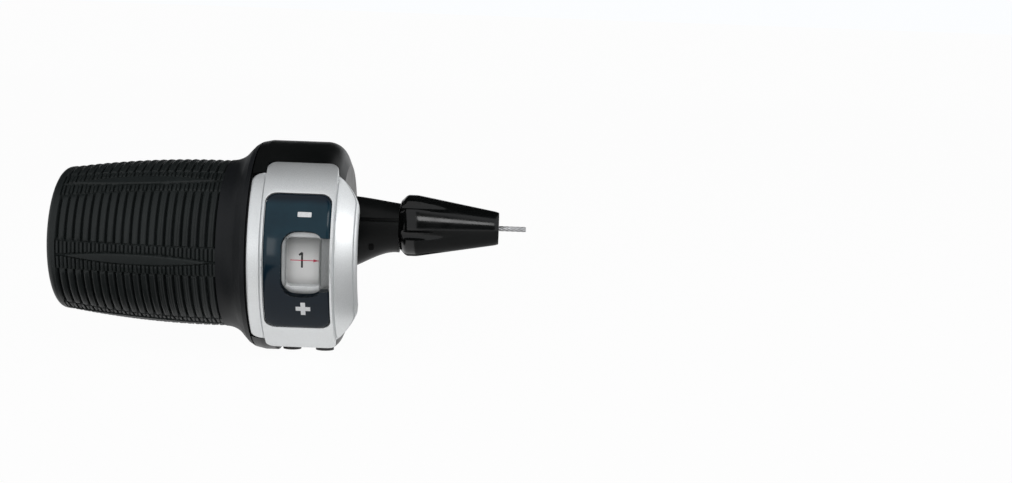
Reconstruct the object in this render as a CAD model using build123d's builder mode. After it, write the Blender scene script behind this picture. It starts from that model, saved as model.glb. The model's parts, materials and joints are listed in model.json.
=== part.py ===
from build123d import *
import os
from math import acos, atan, cos, degrees, radians, sin, sqrt

# Left-hand twist grip shifter with three positions, for a 22.2 mm handlebar.
# X runs along the bar towards the stem, -Y faces the rider and Z is up.
# The origin is on the bar's axis, in the middle of the hub that clamps on it.
# Angles are taken round the bar from the rider's side (-Y), positive upwards.

# Handlebar and hub
bar_diameter = 22.2
clamp_clearance = 0.05
hub_wall = 1.75
hub_inset = 0.1
running_clearance = 0.05
seat_clearance = 0.1

# Inner wire
wire_diameter = 1.2
wire_gap = 0.3
head_diameter = 3.8
head_length = 4.0
bend_radius = 7.0
wire_stub = 6.3

# Spool, from the winding plane outwards
winding_x = 0.0
groove_width = 1.8
groove_lip = 1.1
groove_gap = 0.1
spool_wall = 1.95
cheek_width = 1.4
carrier_gap = 1.1
carrier_width = 1.4
detent_gap = 2.1
detent_width = 1.5
detent_depth = 0.3
step_angle = 30.0
step_count = 2
wrap_angle = 25.0
wrap_start = 1.5
notch_radius = 1.1
dog_count = 3
dog_angle = 24.0
dog_slack = 0.6
dog_length = 1.2
dog_margin = 0.4
washer_thickness = 0.3
axial_clearance = 0.05

# Number drum
drum_gap = 0.3
drum_wall = 1.2
drum_reach = 5.4
drum_margin = 16.0

# Housing
cavity_gap = 0.6
drum_pocket_gap = 0.8
collar_gap = 0.4
ledge_wall = 1.0
shoulder_depth = 2.0
shoulder_radius = 4.5
end_drop = 4.9
mouth_taper = 0.4
mouth_taper_length = 1.9
mouth_margin = 0.3
opening_angle = 44.0
opening_margin = 1.4

# Retaining ring
ring_width = 1.5
ring_gap = 0.3
ring_bite = 0.6
ring_lip = 0.5
ring_slot_angle = 20.0

# Detent spring
spring_angle = -130.0
spring_thickness = 0.4
spring_gap = 0.4
spring_bite = 0.6
spring_nose = 1.5
spring_stop_radius = 0.8

# Silver cover
cover_floor = 1.2
band_height = 1.7
band_step = 0.7
band_width = 14.8
band_angle = 58.0
band_corner = 2.0
flange_angle = 50.5
flange_overhang = 0.2
flange_corner = 2.2
strip_run = 4.4
strip_drop = 5.4
strip_wall = 1.5
strip_corner = 6.0
hook_width = 10.0
hook_angle = 4.0
hook_thickness = 1.0
tongue_width = 12.0
tongue_thickness = 1.3
tongue_angle = 92.0
angle_clearance = 0.4

# Cover screws
cover_screw_angle = -86.0
cover_screw_spacing = 7.2
cover_screw_diameter = 2.1
cover_screw_head = 4.0
cover_screw_length = 3.4
cover_screw_boss = 5.2
cover_screw_slot = 0.5
cover_screw_cross = 2.4

# Lens and window
lens_clearance = 0.05
lens_width = 13.7
lens_angle = 37.0
lens_thickness = 1.75
lens_corner = 2.3
lens_edge = 0.5
window_x = 1.3
window_width = 7.0
window_height = 10.3
window_corner = 1.0

# Clamp screw
clamp_angle = -105.0
clamp_x = 5.5
clamp_screw_diameter = 3.0
clamp_screw_length = 6.0
clamp_insert_wall = 0.6
clamp_insert_depth = 1.05
clamp_insert_length = 4.0
clamp_socket_flats = 1.5
clamp_socket_depth = 2.2
bar_screw_gap = 0.1

# Grip
grip_clearance = 0.25
core_wall = 2.05
parting_gap = 0.3
flare_length = 6.7
flare_rise = 4.2
flare_hollow = (0.39, 0.16)
flare_waist = (0.67, 0.55)
flare_crown = (0.84, 0.84)
flare_pocket_depth = 3.2
flare_wall = 2.0
spigot_wall = 3.4
sleeve_length = 36.25
sleeve_lip = 1.2
rubber_outer = 1.9
rubber_middle = 4.2
rubber_inner = 4.8
rib_count = 19
rib_depth = 0.55
rib_flank = 0.4
rib_lip = 2.55
rib_stop_gap = 0.15
end_chamfer = 1.2
pad_count = 6
pad_width = 2.4
pad_margin = 1.0
pad_rise = 0.15
pad_first_angle = -4.0

# Cable neck and barrel adjuster
exit_offset = 3.4
exit_angle = 173.0
neck_root_x = -2.0
neck_root_width = 7.2
neck_root_height = 14.0
neck_root_drop = 1.5
neck_middle_x = 9.0
neck_middle_width = 12.0
neck_middle_height = 15.7
neck_middle_drop = 1.6
neck_waist_x = 13.5
neck_waist_width = 11.6
neck_waist_height = 12.9
neck_waist_drop = 0.8
neck_end_x = 18.1
neck_end_diameter = 11.4
neck_end_drop = 0.7
neck_line_rise = 1.85
neck_line_width = 0.9
neck_line_depth = 1.1
neck_slot_x = 11.9
neck_slot_drop = 4.5
neck_slot_width = 1.2
neck_slot_height = 1.7
neck_slot_depth = 1.2
neck_slot_corner = 0.4
race_radius = 1.2
neck_insert_wall = 0.65
neck_insert_length = 7.0
neck_insert_recess = 0.8
stem_diameter = 5.8
stem_bore = 2.0
stem_overlap = 11.7
barrel_gap = 0.2
barrel_length = 22.7
barrel_radius = 7.1
barrel_rear_radius = 5.6
barrel_rear_length = 1.4
barrel_land = 2.4
barrel_nose_radius = 3.85
barrel_nose_edge = 0.35
flute_count = 6
flute_bottom = 5.9
flute_radius = 1.15
flute_angle = -10.5
casing_seat_radius = 2.6
casing_seat_depth = 6.0

# Radial stack, from the bar outwards
bar_radius = bar_diameter / 2
wire_radius = wire_diameter / 2
head_radius = head_diameter / 2
clamp_bore_radius = bar_radius + clamp_clearance
hub_radius = clamp_bore_radius + hub_wall
spool_bore_radius = hub_radius + running_clearance
groove_radius = spool_bore_radius + spool_wall
winding_radius = groove_radius + groove_gap + wire_radius
cheek_radius = groove_radius + groove_lip
drum_inner_radius = winding_radius + head_radius + drum_gap
drum_radius = drum_inner_radius + drum_wall
carrier_radius = drum_inner_radius - running_clearance
detent_radius = drum_inner_radius - detent_depth
cavity_radius = drum_radius + cavity_gap
collar_radius = drum_inner_radius - collar_gap
ledge_radius = cavity_radius + ledge_wall
cover_inner_radius = ledge_radius + seat_clearance
lens_floor_radius = cover_inner_radius + cover_floor
band_radius = lens_floor_radius + band_height
housing_radius = band_radius - band_step

# Places along the bar, from the winding plane towards the grip
cheek_left = winding_x - groove_width / 2 - cheek_width
carrier_right = cheek_left - carrier_gap
carrier_left = carrier_right - carrier_width
detent_right = carrier_left - detent_gap
detent_left = detent_right - detent_width
ring_right = detent_left - ring_gap
ring_left = ring_right - ring_width
hub_left = detent_left + hub_inset
mouth_x = ring_left - mouth_margin
flare_face = mouth_x - parting_gap
flare_start = flare_face - flare_length
sleeve_end = flare_start - sleeve_length

# Places along the bar, from the winding plane towards the stem
spool_right = winding_x + groove_width / 2 + cheek_width
washer_left = spool_right + axial_clearance
collar_face = washer_left + washer_thickness + axial_clearance
drum_pocket_x = drum_reach + drum_pocket_gap
end_x = -hub_left
shoulder_x = end_x - shoulder_depth
end_radius = housing_radius - end_drop

# Wire exit, on the side away from the rider
exit_radius = winding_radius + exit_offset
exit_y = -exit_radius * cos(radians(exit_angle))
exit_z = exit_radius * sin(radians(exit_angle))
exit_axis = Axis((0, exit_y, exit_z), (1, 0, 0))
neck_front = exit_y - neck_end_diameter / 2
tangent_length = sqrt(exit_radius**2 - winding_radius**2)
leave_angle = exit_angle - degrees(acos(winding_radius / exit_radius))
bend_end_x = winding_x + bend_radius
barrel_left = neck_end_x + barrel_gap
barrel_right = barrel_left + barrel_length
wire_end_x = barrel_right + wire_stub


def radial_plane(angle):
    # Local x lies along the bar and local y points away from it at the angle
    side = radians(angle)
    return Plane(origin=(0, 0, 0), x_dir=(1, 0, 0), z_dir=(0, -sin(side), -cos(side)))


def bore_plane(angle, x, height=0.0):
    # Local z points away from the bar at the angle, from a point at the height
    side = radians(angle)
    out = Vector(0, -cos(side), sin(side))
    return Plane(origin=Vector(x, 0, 0) + out * height, x_dir=(1, 0, 0), z_dir=out)


def tangent_plane(angle, x, height):
    # Local z points round the bar, the way that the spool turns to pull the wire
    side = radians(angle)
    origin = (x, -height * cos(side), height * sin(side))
    return Plane(origin=origin, x_dir=(1, 0, 0), z_dir=(0, -sin(side), -cos(side)))


def sector(points, top, bottom):
    # A profile of (x, radius) points turned round the bar between two angles
    with BuildPart() as piece:
        with BuildSketch(radial_plane(top)):
            with BuildLine():
                Polyline(*points, close=True)
            make_face()
        revolve(axis=Axis.X, revolution_arc=top - bottom)
    return piece.part


def box_points(left, right, inner, outer):
    return [(left, inner), (right, inner), (right, outer), (left, outer)]


def rounded_sector(points, half_angle, corner):
    # A sector about the rider's side whose four corners are rounded
    with BuildPart() as piece:
        add(sector(points, half_angle, -half_angle))
        across = piece.edges().filter_by(GeomType.LINE).filter_by(Axis.X, reverse=True)
        fillet(across, corner)
    return piece.part


def cylinder_along(plane, radius, length):
    with BuildPart() as piece:
        with BuildSketch(plane):
            Circle(radius)
        extrude(amount=length)
    return piece.part


os.makedirs("parts", exist_ok=True)

# Silver cover: a raised band, two lower flanges and a strip that slopes over the inboard shoulder
band_half = band_width / 2
flange_left = mouth_x + flange_overhang
strip_end = band_half + strip_run
strip_end_radius = housing_radius - strip_drop
strip_length = sqrt(strip_run**2 + strip_drop**2)
strip_in_x = strip_wall * strip_drop / strip_length
strip_in_r = strip_wall * strip_run / strip_length
strip_slope = strip_run / strip_drop
strip_foot = band_half - strip_in_x + (housing_radius - strip_in_r - cover_inner_radius) * strip_slope
flange_points = [
    (flange_left, cover_inner_radius),
    (flange_left, housing_radius),
    (band_half, housing_radius),
    (strip_end, strip_end_radius),
    (strip_end - strip_in_x, strip_end_radius - strip_in_r),
    (strip_foot, cover_inner_radius),
]
band_points = box_points(-band_half, band_half, cover_inner_radius, band_radius)
lens_half = lens_width / 2
recess_half = lens_half + lens_clearance
recess_angle = lens_angle + degrees(lens_clearance / lens_floor_radius)
recess_points = box_points(-recess_half, recess_half, lens_floor_radius, band_radius + band_height)
hook_half = hook_width / 2
hook_top = cover_inner_radius + hook_thickness
hook_points = box_points(-hook_half, hook_half, cover_inner_radius, hook_top)
tongue_half = tongue_width / 2
tongue_radius = cover_inner_radius + tongue_thickness
tongue_points = box_points(-tongue_half, tongue_half, cover_inner_radius, tongue_radius)

with BuildPart() as cover_flanges:
    add(sector(flange_points, flange_angle, -flange_angle))
    ends = cover_flanges.edges().filter_by(GeomType.LINE).filter_by(Axis.X, reverse=True)
    fillet(ends.group_by(Axis.X)[0], flange_corner)
    rim = cover_flanges.edges().filter_by(GeomType.LINE).filter_by(Axis.X, reverse=True)
    fillet(rim.sort_by(Axis.X)[-2:], strip_corner)

cover_band = rounded_sector(band_points, band_angle, band_corner)
lens_recess = rounded_sector(recess_points, recess_angle, lens_corner)
cover_hook = sector(hook_points, band_angle + hook_angle, band_angle - hook_angle)
cover_tongue = sector(tongue_points, hook_angle - band_angle, -tongue_angle)

with BuildPart() as cover:
    add(cover_flanges.part)
    add(cover_band)
    add(cover_hook)
    add(cover_tongue)
    add(lens_recess, mode=Mode.SUBTRACT)
    with BuildSketch(bore_plane(0, window_x, cavity_radius)):
        RectangleRounded(window_width, window_height, window_corner)
    extrude(amount=band_radius - cavity_radius, mode=Mode.SUBTRACT)
    with BuildSketch(bore_plane(cover_screw_angle, 0, cavity_radius)):
        with GridLocations(cover_screw_spacing, 0, 2, 1):
            Circle(cover_screw_diameter / 2 + seat_clearance)
    extrude(amount=band_radius - cavity_radius, mode=Mode.SUBTRACT)
cover.part.label = "cover"
export_step(cover.part, "parts/cover.step")

# Lens: a curved clear block with a softened front edge
lens_inner_radius = lens_floor_radius + lens_clearance
lens_points = box_points(-lens_half, lens_half, lens_inner_radius, lens_inner_radius + lens_thickness)
lens_blank = rounded_sector(lens_points, lens_angle, lens_corner)

with BuildPart() as lens:
    add(lens_blank)
    front = lens.faces().filter_by(GeomType.CYLINDER).sort_by(SortBy.AREA)[-1]
    chamfer(front.edges(), lens_edge)
lens.part.label = "lens"
export_step(lens.part, "parts/lens.step")

# Seats cut into the housing for the cover, and the opening that shows the drum
seat_top = band_radius + band_height
seat_band = band_half + seat_clearance
seat_foot = strip_foot - seat_clearance
seat_rim_radius = strip_end_radius - strip_in_r
seat_rim = seat_foot + (ledge_radius - seat_rim_radius) * strip_slope
flange_seat_points = [
    (mouth_x - mouth_margin, ledge_radius),
    (seat_foot, ledge_radius),
    (seat_rim, seat_rim_radius),
    (strip_end + seat_clearance, seat_rim_radius),
    (strip_end + seat_clearance, seat_top),
    (mouth_x - mouth_margin, seat_top),
]
flange_seat = sector(flange_seat_points, flange_angle + angle_clearance, -flange_angle - angle_clearance)
band_seat = sector(
    box_points(-seat_band, seat_band, ledge_radius, seat_top),
    band_angle + angle_clearance,
    -band_angle - angle_clearance,
)
hook_slot = hook_half + seat_clearance
hook_seat = sector(
    box_points(-hook_slot, hook_slot, ledge_radius, hook_top + seat_clearance),
    band_angle + hook_angle + angle_clearance,
    band_angle,
)
tongue_seat = sector(
    box_points(-tongue_half - seat_clearance, tongue_half + seat_clearance, ledge_radius, seat_top),
    -band_angle,
    -tongue_angle - angle_clearance,
)
front_opening = sector(
    box_points(-band_half + opening_margin, drum_pocket_x, collar_radius, ledge_radius + cover_floor),
    opening_angle,
    -opening_angle,
)

# Leaf spring line: a chord of the chamber with a nose in the middle
chord_height = detent_radius + spring_gap + spring_thickness / 2
nose_height = detent_radius - spring_bite
chord_outer = chord_height + spring_thickness / 2
chord_half = sqrt((cavity_radius - running_clearance) ** 2 - chord_outer**2)
stop_gap = (spring_stop_radius + running_clearance) / cavity_radius
stop_angle = degrees(atan(chord_half / chord_height) + stop_gap)

# Clamp screw seat, measured out from the bar
insert_foot = clamp_bore_radius + clamp_insert_depth
insert_radius = clamp_screw_diameter / 2 + running_clearance + clamp_insert_wall
neck_insert_bore = stem_diameter / 2 + running_clearance
neck_insert_radius = neck_insert_bore + neck_insert_wall
neck_bore_radius = neck_insert_radius + running_clearance
neck_insert_left = neck_end_x - neck_insert_recess - neck_insert_length
neck_bore_left = neck_insert_left - seat_clearance
screw_seat_height = tongue_radius - cover_screw_length

clamp_hole_radius = clamp_screw_diameter / 2 + seat_clearance
clamp_bore_cut = cylinder_along(bore_plane(clamp_angle, clamp_x), clamp_hole_radius, seat_top)
insert_cut = cylinder_along(
    bore_plane(clamp_angle, clamp_x, insert_foot), insert_radius + running_clearance, seat_top
)

with BuildPart() as housing:
    # Round shell with a rounded shoulder and a flat inboard end
    with BuildSketch(radial_plane(90)) as shell_profile:
        with BuildLine():
            Polyline(
                (mouth_x, 0),
                (mouth_x, housing_radius - mouth_taper),
                (mouth_x + mouth_taper_length, housing_radius),
                (shoulder_x, housing_radius),
                (end_x, end_radius),
                (end_x, 0),
                close=True,
            )
        make_face()
        crown = shell_profile.vertices().group_by(Axis.Y)[-1].sort_by(Axis.X)
        fillet(crown[-1], shoulder_radius)
    revolve(axis=Axis.X)
    # Neck that grows out of the back of the shell, deeper below the wire than above it
    with BuildSketch(Plane.YZ.offset(neck_root_x)):
        with Locations((exit_y, exit_z - neck_root_drop)):
            Ellipse(neck_root_width / 2, neck_root_height / 2)
    with BuildSketch(Plane.YZ.offset(neck_middle_x)):
        with Locations((exit_y, exit_z - neck_middle_drop)):
            Ellipse(neck_middle_width / 2, neck_middle_height / 2)
    with BuildSketch(Plane.YZ.offset(neck_waist_x)):
        with Locations((exit_y, exit_z - neck_waist_drop)):
            Ellipse(neck_waist_width / 2, neck_waist_height / 2)
    with BuildSketch(Plane.YZ.offset(neck_end_x)):
        with Locations((exit_y, exit_z - neck_end_drop)):
            Circle(neck_end_diameter / 2)
    loft()
    # Parting line and drain slot on the neck's near side
    with BuildSketch(Plane.YZ.offset(end_x)):
        with Locations((neck_front, exit_z + neck_line_rise)):
            Rectangle(2 * neck_line_depth, neck_line_width)
    extrude(amount=neck_end_x - end_x, mode=Mode.SUBTRACT)
    with BuildSketch(Plane.XZ.offset(-neck_front - neck_slot_depth)):
        with Locations((neck_slot_x, exit_z - neck_slot_drop)):
            RectangleRounded(neck_slot_width, neck_slot_height, neck_slot_corner)
    extrude(amount=neck_middle_width, mode=Mode.SUBTRACT)
    # Chamber for spool and drum, round the hub
    with BuildSketch(radial_plane(90)):
        with BuildLine():
            Polyline(
                (mouth_x - mouth_margin, 0),
                (mouth_x - mouth_margin, cavity_radius),
                (drum_pocket_x, cavity_radius),
                (drum_pocket_x, collar_radius),
                (collar_face, collar_radius),
                (collar_face, hub_radius),
                (hub_left, hub_radius),
                (hub_left, 0),
                close=True,
            )
        make_face()
    revolve(axis=Axis.X, mode=Mode.SUBTRACT)
    # Snap groove of the retaining ring
    groove_points = box_points(
        ring_left - axial_clearance,
        ring_right + axial_clearance,
        cavity_radius - ring_lip,
        cavity_radius + ring_lip + running_clearance,
    )
    with BuildSketch(radial_plane(90)):
        with BuildLine():
            Polyline(*groove_points, close=True)
        make_face()
    revolve(axis=Axis.X, mode=Mode.SUBTRACT)
    # Handlebar bore
    with BuildSketch(Plane.YZ.offset(mouth_x)):
        Circle(clamp_bore_radius)
    extrude(amount=end_x - mouth_x, mode=Mode.SUBTRACT)
    # Wire race through the boss, then the bore of the neck
    with BuildSketch(Plane.YZ.offset(ring_right)):
        with Locations((exit_y, exit_z)):
            Circle(race_radius)
    extrude(amount=neck_end_x - ring_right, mode=Mode.SUBTRACT)
    with BuildSketch(Plane.YZ.offset(neck_bore_left)):
        with Locations((exit_y, exit_z)):
            Circle(neck_bore_radius)
    extrude(amount=neck_end_x - neck_bore_left, mode=Mode.SUBTRACT)
    # Seats of the cover
    add(flange_seat, mode=Mode.SUBTRACT)
    add(band_seat, mode=Mode.SUBTRACT)
    add(hook_seat, mode=Mode.SUBTRACT)
    add(tongue_seat, mode=Mode.SUBTRACT)
    add(front_opening, mode=Mode.SUBTRACT)
    # Bosses and pilot holes of the cover screws
    with BuildSketch(bore_plane(cover_screw_angle, 0, screw_seat_height)):
        with GridLocations(cover_screw_spacing, 0, 2, 1):
            Circle(cover_screw_boss / 2)
    extrude(amount=ledge_radius - seat_clearance - screw_seat_height)
    with BuildSketch(bore_plane(cover_screw_angle, 0, screw_seat_height)):
        with GridLocations(cover_screw_spacing, 0, 2, 1):
            Circle(cover_screw_diameter / 2 + running_clearance)
    extrude(amount=seat_top - screw_seat_height, mode=Mode.SUBTRACT)
    # Stops that keep the leaf spring from creeping round
    with BuildSketch(Plane.YZ.offset(detent_left)):
        for side in (-stop_angle, stop_angle):
            turn = radians(spring_angle + side)
            with Locations((-cavity_radius * cos(turn), cavity_radius * sin(turn))):
                Circle(spring_stop_radius)
    extrude(amount=detent_width)
    # Clamp screw hole, stepped for the threaded insert
    add(clamp_bore_cut, mode=Mode.SUBTRACT)
    add(insert_cut, mode=Mode.SUBTRACT)
housing.part.label = "housing"
export_step(housing.part, "parts/housing.step")

# Cover screws: pan heads on short shanks, with a cross slot each
with BuildPart() as cover_screws:
    with BuildSketch(bore_plane(cover_screw_angle, 0, screw_seat_height + seat_clearance)):
        with GridLocations(cover_screw_spacing, 0, 2, 1):
            Circle(cover_screw_diameter / 2)
    extrude(amount=cover_screw_length - seat_clearance)
    with BuildSketch(bore_plane(cover_screw_angle, 0, tongue_radius)):
        with GridLocations(cover_screw_spacing, 0, 2, 1):
            Circle(cover_screw_head / 2)
    extrude(amount=housing_radius - tongue_radius)
    with BuildSketch(bore_plane(cover_screw_angle, 0, housing_radius - cover_screw_slot)):
        with GridLocations(cover_screw_spacing, 0, 2, 1):
            Rectangle(cover_screw_cross, cover_screw_slot)
            Rectangle(cover_screw_slot, cover_screw_cross)
    extrude(amount=cover_screw_slot, mode=Mode.SUBTRACT)
cover_screws.part.label = "cover_screws"
export_step(cover_screws.part, "parts/cover_screws.step")

# Retaining ring: open where the wire passes
ring_inner_radius = detent_radius - ring_bite
ring_points = box_points(ring_left, ring_right, ring_inner_radius, cavity_radius + ring_lip)
ring_top = exit_angle - ring_slot_angle / 2

with BuildPart() as retaining_ring:
    add(sector(ring_points, ring_top, ring_top + ring_slot_angle - 360))
retaining_ring.part.label = "retaining_ring"
export_step(retaining_ring.part, "parts/retaining_ring.step")

# Thrust washer between spool and collar
with BuildPart() as thrust_washer:
    with BuildSketch(Plane.YZ.offset(washer_left)):
        Circle(cheek_radius)
        Circle(spool_bore_radius + seat_clearance, mode=Mode.SUBTRACT)
    extrude(amount=washer_thickness)
thrust_washer.part.label = "thrust_washer"
export_step(thrust_washer.part, "parts/thrust_washer.step")

# Detent spring: a straight leaf bent to a nose that rests in a notch
with BuildPart() as detent_spring:
    with BuildSketch(
        Plane(
            origin=(detent_left, 0, 0),
            x_dir=(0, sin(radians(spring_angle)), cos(radians(spring_angle))),
            z_dir=(1, 0, 0),
        )
    ):
        with BuildLine():
            Polyline(
                (-chord_half, chord_height),
                (-spring_nose, chord_height),
                (0, nose_height),
                (spring_nose, chord_height),
                (chord_half, chord_height),
            )
        trace(line_width=spring_thickness)
    extrude(amount=detent_width)
detent_spring.part.label = "detent_spring"
export_step(detent_spring.part, "parts/detent_spring.step")

# Clamp insert and the set screw in it
with BuildPart() as clamp_insert:
    with BuildSketch(bore_plane(clamp_angle, clamp_x, insert_foot)):
        Circle(insert_radius)
        Circle(clamp_screw_diameter / 2 + running_clearance, mode=Mode.SUBTRACT)
    extrude(amount=clamp_insert_length)
clamp_insert.part.label = "clamp_insert"
export_step(clamp_insert.part, "parts/clamp_insert.step")

screw_tip = clamp_bore_radius + bar_screw_gap

with BuildPart() as clamp_screw:
    with BuildSketch(bore_plane(clamp_angle, clamp_x, screw_tip)):
        Circle(clamp_screw_diameter / 2)
    extrude(amount=clamp_screw_length)
    with BuildSketch(bore_plane(clamp_angle, clamp_x, screw_tip + clamp_screw_length - clamp_socket_depth)):
        RegularPolygon(clamp_socket_flats / 2, 6, major_radius=False)
    extrude(amount=clamp_socket_depth, mode=Mode.SUBTRACT)
clamp_screw.part.label = "clamp_screw"
export_step(clamp_screw.part, "parts/clamp_screw.step")

# Threaded insert in the neck
with BuildPart() as neck_insert:
    with BuildSketch(Plane.YZ.offset(neck_insert_left)):
        with Locations((exit_y, exit_z)):
            Circle(neck_insert_radius)
            Circle(neck_insert_bore, mode=Mode.SUBTRACT)
    extrude(amount=neck_insert_length)
neck_insert.part.label = "neck_insert"
export_step(neck_insert.part, "parts/neck_insert.step")

# Wire from the spool's tangent, round the bend, to the neck
leave = radians(leave_angle)
leave_point = (winding_x, -winding_radius * cos(leave), winding_radius * sin(leave))
leave_way = (0, sin(leave), cos(leave))
bend_plane = Plane(origin=leave_point, x_dir=leave_way, z_dir=(0, cos(leave), -sin(leave)))

with BuildPart() as cable_bend:
    with BuildLine(bend_plane) as bend_path:
        lead = Line((0, 0), (tangent_length - bend_radius, 0))
        JernArc(start=lead @ 1, tangent=lead % 1, radius=bend_radius, arc_size=90)
    with BuildSketch(Plane(origin=leave_point, x_dir=(1, 0, 0), z_dir=leave_way)):
        Circle(wire_radius)
    sweep(path=bend_path.line)
cable_bend.part.label = "cable_bend"
export_step(cable_bend.part, "parts/cable_bend.step")

# Straight wire from the neck to its free end
with BuildPart() as cable_end:
    with BuildSketch(Plane.YZ.offset(bend_end_x + wire_gap)):
        with Locations((exit_y, exit_z)):
            Circle(wire_radius)
    extrude(amount=wire_end_x - bend_end_x - wire_gap)
cable_end.part.label = "cable_end"
export_step(cable_end.part, "parts/cable_end.step")

# Wire in the spool's groove, and its cast head
wrap_top = leave_angle - wrap_start
head_angle = leave_angle - wrap_angle

with BuildPart() as cable_wrap:
    with BuildSketch(radial_plane(wrap_top)):
        with Locations((winding_x, winding_radius)):
            Circle(wire_radius)
    revolve(axis=Axis.X, revolution_arc=wrap_angle - wrap_start)
cable_wrap.part.label = "cable_wrap"
export_step(cable_wrap.part, "parts/cable_wrap.step")

head_plane = tangent_plane(head_angle, winding_x, winding_radius)

with BuildPart() as cable_head:
    with BuildSketch(head_plane):
        Circle(head_radius)
    extrude(amount=head_length)
cable_head.part.label = "cable_head"
export_step(cable_head.part, "parts/cable_head.step")

# Spool: hub, detent flange, drum carrier and the two cheeks of the groove
dog_inner = spool_bore_radius + dog_margin
dog_outer = spool_bore_radius + spigot_wall - dog_margin
dog_turns = [90 + turn * 360 / dog_count for turn in range(dog_count)]
dog_slots = [
    sector(
        box_points(
            detent_left - dog_length,
            detent_left + dog_length + seat_clearance,
            dog_inner - seat_clearance,
            dog_outer + seat_clearance,
        ),
        turn + (dog_angle + dog_slack) / 2,
        turn - (dog_angle + dog_slack) / 2,
    )
    for turn in dog_turns
]
groove_left = winding_x - groove_width / 2
groove_right = winding_x + groove_width / 2
pocket_radius = head_radius + seat_clearance

with BuildPart() as spool:
    with BuildSketch(radial_plane(90)):
        with BuildLine():
            Polyline(
                (detent_left, spool_bore_radius),
                (detent_left, detent_radius),
                (detent_right, detent_radius),
                (detent_right, groove_radius),
                (carrier_left, groove_radius),
                (carrier_left, carrier_radius),
                (carrier_right, carrier_radius),
                (carrier_right, groove_radius),
                (cheek_left, groove_radius),
                (cheek_left, cheek_radius),
                (groove_left, cheek_radius),
                (groove_left, groove_radius),
                (groove_right, groove_radius),
                (groove_right, cheek_radius),
                (spool_right, cheek_radius),
                (spool_right, spool_bore_radius),
                close=True,
            )
        make_face()
    revolve(axis=Axis.X)
    # Click notches, one for each position
    with BuildSketch(Plane.YZ.offset(detent_left)):
        for step in range(step_count + 1):
            turn = radians(spring_angle + step * step_angle)
            with Locations((-detent_radius * cos(turn), detent_radius * sin(turn))):
                Circle(notch_radius)
    extrude(amount=detent_width, mode=Mode.SUBTRACT)
    # Pocket of the wire's head, open outwards
    with BuildSketch(head_plane):
        Circle(pocket_radius)
        with Locations((0, pocket_radius)):
            Rectangle(2 * pocket_radius, 2 * pocket_radius)
    extrude(amount=head_length + seat_clearance, mode=Mode.SUBTRACT)
    for slot in dog_slots:
        add(slot, mode=Mode.SUBTRACT)
spool.part.label = "spool"
export_step(spool.part, "parts/spool.step")

# Number drum: a curved band that overhangs the spool under the window
drum_top = step_count * step_angle + drum_margin
drum_points = box_points(carrier_left, drum_reach, drum_inner_radius, drum_radius)

with BuildPart() as number_drum:
    add(sector(drum_points, drum_top, -drum_margin))
number_drum.part.label = "number_drum"
export_step(number_drum.part, "parts/number_drum.step")

# Grip core: tube on the bar, flared collar, and a spigot with dogs that drive the spool
core_bore_radius = bar_radius + grip_clearance
core_radius = core_bore_radius + core_wall
rubber_radius = core_radius + rubber_inner
flare_radius = rubber_radius + flare_rise
spigot_radius = spool_bore_radius + spigot_wall
pocket_floor = flare_face - flare_pocket_depth
core_end = sleeve_end + sleeve_lip + seat_clearance
dogs = [
    sector(
        box_points(detent_left - dog_length, detent_left + dog_length, dog_inner, dog_outer),
        turn + dog_angle / 2,
        turn - dog_angle / 2,
    )
    for turn in dog_turns
]


def flare_point(along, up):
    # Shares of the flare's length and rise, from the rubber's edge
    return (flare_start + along * flare_length, rubber_radius + up * flare_rise)


with BuildPart() as grip_core:
    with BuildSketch(radial_plane(90)):
        with BuildLine():
            ThreePointArc(flare_point(0, 0), flare_point(*flare_hollow), flare_point(*flare_waist))
            Polyline(
                flare_point(*flare_waist),
                flare_point(*flare_crown),
                flare_point(1, 1),
                (flare_face, flare_radius - flare_wall),
                (pocket_floor, flare_radius - flare_wall - flare_wall),
                (pocket_floor, spigot_radius),
                (detent_left, spigot_radius),
                (detent_left, spool_bore_radius + running_clearance),
                (hub_left - parting_gap, spool_bore_radius + running_clearance),
                (hub_left - parting_gap, core_bore_radius),
                (core_end, core_bore_radius),
                (core_end, core_radius),
                (flare_start, core_radius),
                flare_point(0, 0),
            )
        make_face()
    revolve(axis=Axis.X)
    for dog in dogs:
        add(dog)
grip_core.part.label = "grip_core"
export_step(grip_core.part, "parts/grip_core.step")

# Grip sleeve: ribs on a slightly barrelled tube, with six smooth pointed pads along it
sleeve_right = flare_start - running_clearance
sleeve_bore_radius = core_radius + running_clearance
rib_left = sleeve_end + rib_lip
rib_pitch = (sleeve_right - rib_stop_gap - rib_left) / rib_count
sleeve_middle = (sleeve_end + sleeve_right) / 2
barrel_slope = (rubber_inner - rubber_outer) / (sleeve_right - sleeve_end)
barrel_crown = rubber_middle - (rubber_inner + rubber_outer) / 2


def sleeve_radius(x):
    # Straight taper plus a shallow parabolic crown
    share = (x - sleeve_middle) / (sleeve_right - sleeve_middle)
    return core_radius + rubber_outer + barrel_slope * (x - sleeve_end) + barrel_crown * (1 - share**2)


rib_points = []
for rib in range(rib_count):
    foot = rib_left + rib * rib_pitch
    crest = foot + rib_flank
    rib_points += [(foot, sleeve_radius(foot) - rib_depth), (crest, sleeve_radius(crest))]
rib_stop = rib_left + rib_count * rib_pitch
rib_points.append((rib_stop, sleeve_radius(rib_stop) - rib_depth))

pad_length = rib_stop - rib_left - 2 * pad_margin
pad_x = (rib_left + rib_stop) / 2
pad_half = pad_width / 2

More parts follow.
